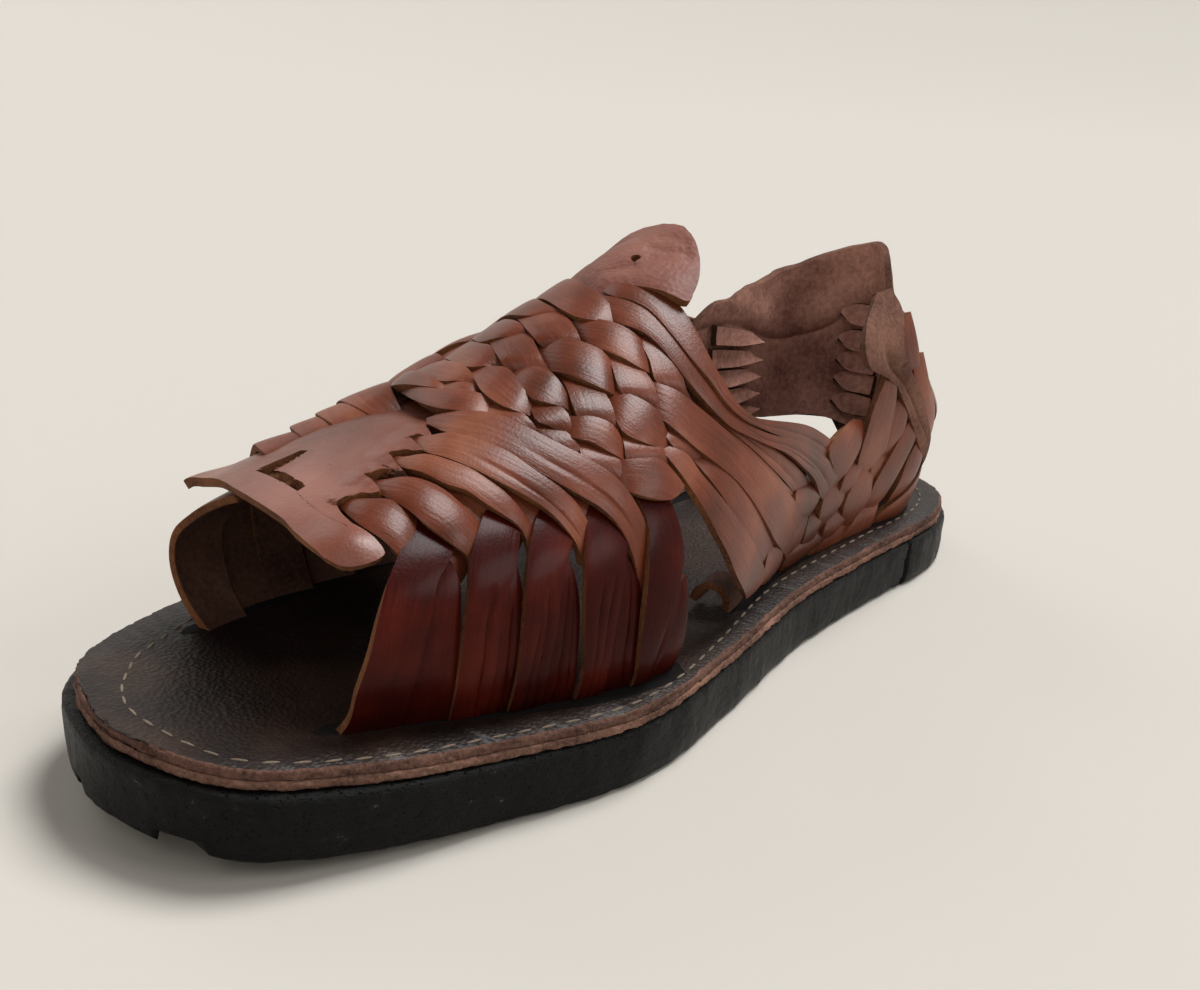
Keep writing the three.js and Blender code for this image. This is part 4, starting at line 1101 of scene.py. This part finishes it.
# Toe plate, as station and girth: its front edge from the inner corner to the outer one, its outer edge with
# a notch for each slot strap, and its inner edge, both from the front to where it goes under the plait
PLATE_FRONT = [
    (-99.5, -0.5), (-100, -0.42), (-101, -0.33), (-102, -0.255), (-104, -0.155), (-105, -0.08), (-106, 0.005),
    (-106.5, 0.06), (-107.5, 0.115), (-108, 0.19), (-108, 0.265), (-107, 0.32), (-105.5, 0.345),
]
PLATE_OUTER = [
    (-105.5, 0.345), (-103.5, 0.358), (-101, 0.362), (-99, 0.355), (-98.8, 0.33), (-99, 0.285), (-99.5, 0.25),
    (-100, 0.215), (-99.5, 0.175), (-99, 0.15), (-98, 0.115),
    (-96, 0.125), (-93.5, 0.14), (-90.5, 0.168), (-90, 0.15), (-89.5, 0.12), (-89.5, 0.09),
    (-86.5, 0.105), (-84, 0.13), (-83.8, 0.155), (-83.5, 0.125), (-82.5, 0.095), (-82, 0.072),
    (-79.5, 0.09), (-77, 0.125), (-76.5, 0.095), (-76, 0.075), (-76, 0.058),
    (-74, 0.065), (-72.5, 0.095), (-71.5, 0.07), (-70.5, 0.045),
    (-69.5, 0.045), (-68, 0.048), (-67, 0.075), (-62, 0.06),
]
PLATE_INNER = [
    (-99.5, -0.5), (-94, -0.43), (-90, -0.33), (-84, -0.25), (-78, -0.2), (-71, -0.17), (-62, -0.13),
]
PLATE_THICK = 2.2
PLATE_ROWS, PLATE_COLUMNS = 130, 64
SHEET_CORNER = 0.4
MIDDLE_Z = 30  # height of the middle line of the last
# Height of the plate over the last along the stations
PLATE_OVER = np.array(
    [(-112, 0.2), (-100, 0.3), (-84, 0.2), (-76, -0.1), (-71, -0.9), (-66, -2.6), (-61, -4.5)]
)
# Raised corners of the plate, the curled inner one and the full outer one: height, station, reach along the
# stations, girth, and reach across in millimetres
PLATE_CORNERS = [(2.6, -99, 9, -0.5, 9), (1.6, -103, 5, 0.27, 9)]
# Teeth between the notches: the station they begin at, and their rise within a reach of the outer edge
TEETH_FROM, TEETH_RISE, TEETH_REACH = -98, 0.8, 4.5
# Two slits in the plate that leave a square tab, as corners in station and girth
SLITS = [
    [(-97.2, -0.17), (-96.4, -0.14), (-88.3, -0.113), (-88.6, -0.137)],
    [(-97.8, -0.17), (-99.5, 0.005), (-97.6, 0.005), (-96.2, -0.145)],
]
# The tab is pressed in at the corner of the slits: its edges as stations and girths, and its depth there
TAB_FRONT, TAB_SKEW = -97.55, -9.33
TAB_FAR, TAB_SLANT = -0.1438, 0.00333
TAB_BACK, TAB_NEAR = -88.3, 0.005
TAB_DEPTH = 0.5

# Neck of the plate under the plait, and the tongue: station, outer and inner edge, height over the last
TONGUE = np.array(
    [
        (-68, 0.08, 0.16, -4.4),
        (-50, 0.07, 0.12, -5.2),
        (-22, 0.06, 0.16, -4),
        (-16, 0.06, 0.2, -1),
        (-11.5, 0.06, 0.21, 1.6),
        (-9.5, 0.12, 0.21, 2.5),
        (-7, 0.2, 0.21, 3),
        (-2, 0.205, 0.21, 3.2),
        (3, 0.18, 0.2, 3.2),
        (7.5, 0.14, 0.17, 3.2),
        (10.5, 0.09, 0.12, 3),
        (12, 0.04, 0.06, 2.8),
        (12.6, 0.01, 0.02, 2.6),
    ]
)
TONGUE_ACROSS = 40
TONGUE_HOLE = (-3, 0.03, 1.1)  # station, girth, radius in millimetres
TONGUE_SKEW = 45  # how much further back, in millimetres, it leaves the plait at the inner foot line
# Its free part: the station it begins at, its lean to the inner side, and how far it is let down
TONGUE_FREE, TONGUE_LEAN, TONGUE_DROP = -16, 0.1, 1.1
# Creases of the tongue: their ends in station and girth, and their depth and width in millimetres
TONGUE_CREASES = [
    ((6.5, 0.02), (8, 0.1), 0.5, 1.2),
    ((2, 0.02), (5.5, 0.13), 0.6, 1.3),
    ((-1, 0.05), (2.5, 0.09), 0.4, 1.1),
    ((-9, 0.0), (-5, 0.05), 0.7, 1.8),
]


def anticlockwise(corners):
    """Corners of an outline, turned round if they run clockwise."""
    area = sum(a[0] * b[1] - b[0] * a[1] for a, b in zip(corners, corners[1:] + corners[:1]))
    return corners if area > 0 else corners[::-1]


def face_outwards(mesh_of):
    """Turns the faces of a sheet on the last so that they look away from its middle line."""
    facing = 0
    for face in mesh_of.faces:
        spot = face.calc_center_median()
        middle = Vector((AXIS_X * MM, min(spot.y, HEEL_CENTRE * MM), MIDDLE_Z * MM))
        facing += face.normal.dot(spot - middle) * face.calc_area()
    if facing < 0:
        bmesh.ops.reverse_faces(mesh_of, faces=mesh_of.faces)


def on_line(line, count):
    """Places at equal steps along a line of stations and girths, as flat millimetres."""
    points = np.array(line, float) * (1, GIRTH)
    lengths = running_length(points)
    spots = np.linspace(0, lengths[-1], count)
    return np.column_stack([np.interp(spots, lengths, points[:, axis]) for axis in (0, 1)])


def patch_between(front, back, inner, outer, rows, columns):
    """Flat grid that fills the space between four edge lines."""
    t = np.linspace(0, 1, rows)[:, None, None]
    u = np.linspace(0, 1, columns)[None, :, None]
    f, b = on_line(front, columns)[None], on_line(back, columns)[None]
    i, o = on_line(inner, rows)[:, None], on_line(outer, rows)[:, None]
    corners = (1 - t) * ((1 - u) * f[:, :1] + u * f[:, -1:]) + t * ((1 - u) * b[:, :1] + u * b[:, -1:])
    return (1 - t) * f + t * b + (1 - u) * i + u * o - corners


def plate_height(station, girth, from_edge):
    """Height of the plate over the last with its raised corners and teeth, its waves and its pressed tab."""
    over = smooth_columns(PLATE_OVER, np.array([station]))[0, 0]
    for height, at, along, beside, across in PLATE_CORNERS:
        over += height * math.exp(-(((station - at) / along) ** 2) - ((girth - beside) * GIRTH / across) ** 2)
    if station > TEETH_FROM:
        over += TEETH_RISE * max(0, 1 - from_edge / TEETH_REACH)
    over += 0.5 * noise.noise((station / 15, girth * GIRTH / 15, 4))
    over += 0.08 * noise.noise((station / 5, girth * 18, 9))
    front = TAB_FRONT + girth * TAB_SKEW
    far = TAB_FAR + (station - TAB_FRONT) * TAB_SLANT
    if front < station < TAB_BACK and far < girth < TAB_NEAR:
        over -= TAB_DEPTH * min(1, (TAB_BACK - station) / 7) * min(1, (TAB_NEAR - girth) * GIRTH / 9)
    return over


def toe_plate():
    """Plate with its notched edge, its slits and the tab between them."""
    mesh_of = bmesh.new()
    plate_back = [PLATE_INNER[-1], PLATE_OUTER[-1]]
    patch = patch_between(PLATE_FRONT, plate_back, PLATE_INNER, PLATE_OUTER, PLATE_ROWS, PLATE_COLUMNS)
    flat_grid(mesh_of, np.concatenate([patch, np.zeros((PLATE_ROWS, PLATE_COLUMNS, 1))], axis=2))
    for slit in SLITS:
        cut_out(mesh_of, anticlockwise([(s, g * GIRTH) for s, g in slit]))
    edge = np.array(PLATE_OUTER) * (1, GIRTH)
    for vert in mesh_of.verts:
        from_edge = np.min(np.hypot(edge[:, 0] - vert.co.x, edge[:, 1] - vert.co.y))
        vert.co.z = plate_height(vert.co.x, vert.co.y / GIRTH, from_edge)
    onto_last(mesh_of)
    face_outwards(mesh_of)
    materials = [plate_leather, raw_edge, flesh_side]
    piece = new_piece("toe_plate", mesh_of, "vamp_plate", materials)
    thicken(piece, PLATE_THICK, SHEET_CORNER)


def tongue():
    """Neck under the plait and free tongue with its hole, waves and creases."""
    mesh_of = bmesh.new()
    rows = finer(TONGUE, 1.0)
    share = np.linspace(0, 1, TONGUE_ACROSS + 1)
    flat = np.empty((len(rows), TONGUE_ACROSS + 1, 3))
    flat[:, :, 0] = rows[:, 0:1]
    flat[:, :, 1] = (rows[:, 1:2] - (rows[:, 1:2] + rows[:, 2:3]) * share) * GIRTH
    # It comes up from under the plait further back on the inner side than on the outer one
    from_plait = flat[:, :, 0] + TONGUE_SKEW / GIRTH * np.minimum(flat[:, :, 1], 0)
    flat[:, :, 2] = np.interp(from_plait, rows[:, 0], rows[:, 3])
    free = np.clip((from_plait - TONGUE_FREE) / 8, 0, 1)
    flat[:, :, 2] += (TONGUE_LEAN * flat[:, :, 1] - TONGUE_DROP) * free
    flat_grid(mesh_of, flat)
    station, girth, radius = TONGUE_HOLE
    turns = np.linspace(0, 2 * math.pi, 12, endpoint=False)
    cut_out(mesh_of, [(station + radius * math.cos(a), girth * GIRTH + radius * math.sin(a)) for a in turns])
    for vert in mesh_of.verts:
        x, y, _ = vert.co
        vert.co.z += 0.9 * noise.noise((x / 11, y / 11, 2)) + 0.2 * noise.noise((x / 4, y / 9, 5))
        for start, end, depth, wide in TONGUE_CREASES:
            start, end = (Vector((place_of[0], place_of[1] * GIRTH)) for place_of in (start, end))
            near, along = intersect_point_line(Vector((x, y)), start, end)
            away = (near - Vector((x, y))).length + 20 * max(0, -along, along - 1)
            vert.co.z -= depth * math.exp(-((away / wide) ** 2))
    onto_last(mesh_of)
    face_outwards(mesh_of)
    materials = [tongue_leather, raw_edge, flesh_side]
    piece = new_piece("neck_and_tongue", mesh_of, "vamp_plate", materials)
    thicken(piece, PLATE_THICK, SHEET_CORNER)


toe_plate()
tongue()

# Heel counter from its inner front end round the back to the outer side: station, lower and upper edge, and
# height over the last at the upper edge
COUNTER = np.array(
    [
        (58, 0.42, 0.51, -3.5),
        (61, 0.36, 0.555, -3.5),
        (66, 0.31, 0.605, -3.5),
        (72, 0.27, 0.635, -3.5),
        (81, 0.245, 0.71, -3.5),
        (88, 0.24, 0.765, -3.5),
        (96.5, 0.225, 0.825, -3.5),
        (111.5, 0.22, 0.88, -3.5),
        (123.5, 0.225, 0.92, -3.5),
        (136, 0.2, 0.95, -4),
        (145, 0.19, 0.965, -6),
        (152, 0.18, 0.95, -9),
        (160, 0.18, 0.9, -11.5),
        (168, 0.18, 0.85, -13),
        (180, 0.18, 0.8, -13),
        (192, 0.2, 0.79, -10),
        (202, 0.24, 0.8, -7),
        (208, 0.3, 0.79, -5),
        (212, 0.4, 0.77, -4),
    ]
)
COUNTER_FOOT = -3.5  # height over the last at the lower edge
COUNTER_THICK = 2
COUNTER_ACROSS = 60
# Fold across the inside of the counter: station, height
COUNTER_FOLD = np.array(
    [(60, 0.5), (76, 0.56), (85, 0.575), (103, 0.56), (111, 0.57), (124, 0.61), (132, 0.67), (150, 0.74)]
)


def heel_counter():
    """Counter sheet with the fold inside it and soft waves."""
    mesh_of = bmesh.new()
    rows = finer(COUNTER, 1.2)
    share = np.linspace(0, 1, COUNTER_ACROSS + 1)
    up = rows[:, 1:2] + (rows[:, 2:3] - rows[:, 1:2]) * share
    lift = COUNTER_FOOT + (rows[:, 3:4] - COUNTER_FOOT) * share**2
    fold = smooth_columns(COUNTER_FOLD, np.clip(rows[:, 0], COUNTER_FOLD[0, 0], COUNTER_FOLD[-1, 0]))
    above = (up - fold) * GIRTH
    lift = lift - 1.3 * np.exp(-(((above - 6) / 6) ** 2)) + 0.9 * np.exp(-((above / 1.5) ** 2))
    flat = np.empty((len(rows), COUNTER_ACROSS + 1, 3))
    flat[:, :, 0] = rows[:, 0:1]
    flat[:, :, 1] = (up - 1) * GIRTH
    flat[:, :, 2] = lift
    flat_grid(mesh_of, flat)
    for vert in mesh_of.verts:
        x, y, _ = vert.co
        vert.co.z += 1.1 * noise.noise((x / 16, y / 16, 7)) + 0.35 * noise.noise((x / 5, y / 5, 3))
    onto_last(mesh_of)
    face_outwards(mesh_of)
    piece = new_piece("heel_counter_sheet", mesh_of, "heel_counter", wing_set)
    thicken(piece, COUNTER_THICK, SHEET_CORNER)


heel_counter()

# Sole layers
OUTLINE = [(AXIS_X, HALF_LENGTH)]
OUTLINE += [(AXIS_X + outer, HALF_LENGTH - share * SOLE_LENGTH) for share, outer, _ in SOLE]
OUTLINE += [(AXIS_X, -HALF_LENGTH)]
OUTLINE += [(AXIS_X - inner, HALF_LENGTH - share * SOLE_LENGTH) for share, _, inner in reversed(SOLE)]
AROUND, OUTLINE_SAMPLES = 900, 4000
LUG_GAPS = [(-27, 12, 5), (-11, 5, 3.4), (17, 9, 2.8)]  # under the toe: place along X, width, height
LUGS_FROM = -115  # the gaps lie in front of this place along Y
HEEL_JOINT = 91  # place along Y of a joint in the rubber on the outer side
TOE_FLARE, HEEL_FLARE = 2.2, 1.2  # how far the rubber wall stands out at the toe and the heel


def sole_outline():
    """Points of the sole's outline at equal steps, from the heel along the outer side, and its normals."""
    ring = np.array(OUTLINE[-2:] + OUTLINE + OUTLINE[:3], float)
    table = np.column_stack([running_length(ring, 0.5), ring])
    fine = np.linspace(table[2, 0], table[-3, 0], OUTLINE_SAMPLES)
    points = smooth_columns(table, fine)
    lengths = running_length(points)
    spots = np.interp(np.linspace(0, lengths[-1], AROUND + 1), lengths, fine)
    points = smooth_columns(table, spots)
    along = unit(np.gradient(points, axis=0))
    along[0] = along[-1] = (1, 0)
    return points, np.column_stack([-along[:, 1], along[:, 0]])


EDGE, EDGE_NORMAL = sole_outline()


def sole_piece(name, profile, node_name, materials, rough):
    """Sole layer: its profile goes from under the middle round the edge to the middle of the top.

    A profile row is the share of the way in to the axis, the inset in millimetres, the height, and the
    material of the face that follows it.
    """
    mesh_of = bmesh.new()
    made = bmesh.ops.create_grid(mesh_of, x_segments=AROUND, y_segments=len(profile) - 1, size=1)
    for face in mesh_of.faces:
        row = min(round((vert.co.y + 1) / 2 * (len(profile) - 1)) for vert in face.verts)
        face.material_index = profile[row][3]
    for vert in made["verts"]:
        i = round((vert.co.x + 1) / 2 * AROUND)
        row = round((vert.co.y + 1) / 2 * (len(profile) - 1))
        inward, inset, z, _ = profile[row]
        out, lift = rough(EDGE[i], z)
        x, y = EDGE[i] - EDGE_NORMAL[i] * (inset - (0 if inward else out))
        x += (AXIS_X - x) * inward
        z += float(toe_spring(y)) + lift
        vert.co = Vector((x, y, max(z, 0))) * MM
    bmesh.ops.remove_doubles(mesh_of, verts=mesh_of.verts, dist=0.02 * MM)
    bmesh.ops.recalc_face_normals(mesh_of, faces=mesh_of.faces)
    new_piece(name, mesh_of, node_name, materials)


def cut_roughness(spot, z):
    """Knife work on the rubber: a wall that flares at both ends, waves, lug gaps and the heel joint."""
    x, y = spot
    flare = TOE_FLARE * max(0, min(1, (-60 - y) / 70)) + HEEL_FLARE * max(0, min(1, (y - 60) / 60))
    wave = noise.noise((x / 9, y / 9, z / 14)) * 0.5 + noise.noise((x / 2.5, y / 2.5, z / 3)) * 0.22
    joint = -1.6 if x > 0 and abs(y - HEEL_JOINT - z * 0.15) < 0.8 else 0
    lift = 0
    for at, width, height in LUG_GAPS:
        if y < LUGS_FROM and abs(x - at) < width / 2:
            lift = max(0, height - 0.8 * z)
    return flare + wave + joint, lift


def frayed(spot, z):
    """Ragged cut edge of a leather layer."""
    x, y = spot
    out = noise.noise((x / 3, y / 3, z)) * 0.45 + noise.noise((x / 0.8, y / 0.8, z * 2)) * 0.45
    return out, 0


sole_piece(
    "rubber_tread",
    [
        (1, 0, 0, 0),
        (0.5, 0, 0, 0),
        (0, 1.6, 0, 0),
        (0, 0.6, 0.9, 0),
        (0, 0.1, 3.5, 0),
        (0, 0, 6.5, 0),
        (0, 0, 9.5, 0),
        (0, 0, 12, 0),
        (0, 0.2, 13.5, 0),
        (0, 1, 14, 0),
        (0.5, 0, 14, 0),
        (1, 0, 14, 0),
    ],
    "outsole",
    [rubber],
    cut_roughness,
)
sole_piece(
    "leather_midsole",
    [
        (1, 0, MIDSOLE_Z, 0),
        (0.5, 0, MIDSOLE_Z, 0),
        (0, 0.6, MIDSOLE_Z, 0),
        (0, 0.4, MIDSOLE_Z + 0.25, 0),
        (0, 0.3, MIDSOLE_Z + 0.7, 0),
        (0, 0.3, MIDSOLE_Z + 1.2, 0),
        (0, 0.3, MIDSOLE_Z + 1.7, 0),
        (0, 0.5, MIDSOLE_Z + 1.95, 0),
        (0.5, 0, MIDSOLE_Z + 1.9, 0),
        (1, 0, MIDSOLE_Z + 1.9, 0),
    ],
    "midsole",
    [sole_edge],
    frayed,
)
sole_piece(
    "leather_footbed",
    [
        (1, 0, INSOLE_Z, 1),
        (0.5, 0, INSOLE_Z, 1),
        (0, 0.7, INSOLE_Z - 0.2, 1),
        (0, 0.5, INSOLE_Z + 0.2, 1),
        (0, 0.6, INSOLE_Z + 0.7, 1),
        (0, 0.6, INSOLE_Z + 1.2, 1),
        (0, 0.7, INSOLE_Z + 1.6, 1),
        (0, 1.1, INSOLE_Z + 1.9, 0),
        (0.25, 0, INSOLE_Z + 1.9, 0),
        (0.6, 0, INSOLE_Z + 1.9, 0),
        (1, 0, INSOLE_Z + 1.9, 0),
    ],
    "insole",
    [footbed_leather, insole_edge],
    frayed,
)

# Slots in the footbed that the straps go down into, drawn only as strips of painted shade on it: side, first
# and last station, reach past the foot line
SLOTS = [(1, -113, -31, 5.5), (-1, -108, -28, 2.6), (1, 2, 34, 2.6), (1, 36, 122, 2.6), (-1, 2, 88, 2.6)]
SLOT_INNER = 2.6  # reach on the near side of the foot line
SLOT_ROWS = 60


def slots():
    """Painted shade of the slot mouths: near-black strips laid just over the footbed along the foot lines of
    the last.
    """
    mesh_of = bmesh.new()
    for side, start, end, reach in SLOTS:
        stations = np.linspace(start, end, SLOT_ROWS)
        foot = form_point(stations, float(side))
        out = unit(np.gradient(foot, axis=0))
        out = np.column_stack([out[:, 1], -out[:, 0]]) * side
        taper = np.clip(np.minimum(stations - start, end - stations) / 3, 0.2, 1)
        places = np.empty((SLOT_ROWS, 3, 3))
        for j, across in enumerate((-SLOT_INNER, 0, reach)):
            places[:, j, :2] = foot[:, :2] + out * (taper * across)[:, None]
            places[:, j, 2] = foot[:, 2] + (0.06 if j == 1 else 0.03)
        flat_grid(mesh_of, places * MM)
    bmesh.ops.recalc_face_normals(mesh_of, faces=mesh_of.faces)
    for face in mesh_of.faces:
        if face.normal.z < 0:
            face.normal_flip()
    new_piece("slot_mouth_painted_shade", mesh_of, "insole", [slot_shade_paint])


slots()

# Seam thread on the footbed: share of the length from the heel, inset from the outer and from the inner edge
SEAM = np.array(
    [
        (0.0, 8, 8),
        (0.1, 7, 7),
        (0.3, 6.5, 6.5),
        (0.45, 6.5, 6.5),
        (0.6, 3.5, 5),
        (0.7, 3, 6),
        (0.8, 2.8, 8),
        (0.87, 2.8, 9.8),
        (0.92, 3.2, 11),
        (0.95, 3.8, 10.9),
        (0.98, 4.6, 10.2),
        (1.0, 6.6, 6.6),
    ]
)
STITCH = (3.6, 0.65, 0.5)  # length, width, height
STITCH_PITCH = 5.6


def stitches():
    """Seam of single stitches round the footbed."""
    shares = (HALF_LENGTH - EDGE[:, 1]) / SOLE_LENGTH
    insets = smooth_columns(SEAM, np.clip(shares, 0, 1))
    inset = np.where(EDGE[:, 0] > AXIS_X, insets[:, 0], insets[:, 1])
    path = EDGE - EDGE_NORMAL * inset[:, None]
    lengths = running_length(path)
    mesh_of = bmesh.new()
    for middle in np.arange(STITCH_PITCH / 2, lengths[-1], STITCH_PITCH):
        x, y = (np.interp(middle, lengths, path[:, axis]) for axis in (0, 1))
        ahead = [np.interp(middle + 1, lengths, path[:, axis]) for axis in (0, 1)]
        angle = math.atan2(ahead[1] - y, ahead[0] - x) + 0.12 * noise.noise((x, y, 1))
        z = FOOTBED_Z + float(toe_spring(y)) + 0.05
        spot = Matrix.Translation(Vector((x, y, z)) * MM) @ Matrix.Rotation(angle, 4, "Z")
        size = Matrix.Diagonal([edge * MM for edge in STITCH] + [1])
        bmesh.ops.create_uvsphere(mesh_of, u_segments=10, v_segments=6, radius=0.5, matrix=spot @ size)
    new_piece("footbed_seam", mesh_of, "insole", [thread])


stitches()

# Floor, light and camera, in metres
FLOOR_REACH = 12
FLAT_REACH = 3
RIM_HEIGHT = 5


def backdrop():
    """Pale paper floor that rises far away on all sides, so that no horizon shows."""
    mesh_of = bmesh.new()
    bmesh.ops.create_grid(mesh_of, x_segments=64, y_segments=64, size=FLOOR_REACH)
    for vert in mesh_of.verts:
        away = max(0, vert.co.length - FLAT_REACH) / (FLOOR_REACH - FLAT_REACH)
        vert.co.z = RIM_HEIGHT * away**2
    paper, tree, shader = new_material("pale paper")
    feed(tree, shader, {"Base Color": linear("#beb9b1"), "Roughness": 0.8})
    piece = new_object("backdrop", mesh_of, [paper])


backdrop()

world = bpy.data.worlds.new("studio")
world.use_nodes = True
world.node_tree.nodes["Background"].inputs["Color"].default_value = linear("#efeae4")
world.node_tree.nodes["Background"].inputs["Strength"].default_value = 0.1
bpy.context.scene.world = world
bpy.context.scene.view_settings.view_transform = "Standard"


def soft_light(name, source, spread, power):
    """Light from a direction, as wide as the spread in degrees."""
    light = bpy.data.lights.new(name, "SUN")
    light.angle = math.radians(spread)
    light.energy = power
    thing = bpy.data.objects.new(name, light)
    thing.rotation_euler = Vector(source).to_track_quat("Z", "Y").to_euler()
    bpy.context.scene.collection.objects.link(thing)


soft_light("top light", (0.06, 0.4, 0.8), 28, 3.4)
soft_light("side light", (1.0, 0.5, 0.65), 30, 1.2)
soft_light("front light", (0.3, -0.58, 0.85), 30, 0.4)
soft_light("inner light", (-0.8, 0.1, 0.6), 30, 0.35)

camera = bpy.data.objects.new("camera", bpy.data.cameras.new("camera"))
camera.data.lens = 39.585
camera.data.sensor_width = 36
camera.data.clip_start = 0.01
look = Matrix(((0.7398, -0.2646, 0.6186), (0.6698, 0.2027, -0.7143), (0.0636, 0.9428, 0.3272)))
camera.matrix_world = Matrix.Translation((0.2052, -0.2467, 0.1498)) @ look.to_4x4()
bpy.context.scene.collection.objects.link(camera)
bpy.context.scene.camera = camera

bpy.context.view_layer.update()
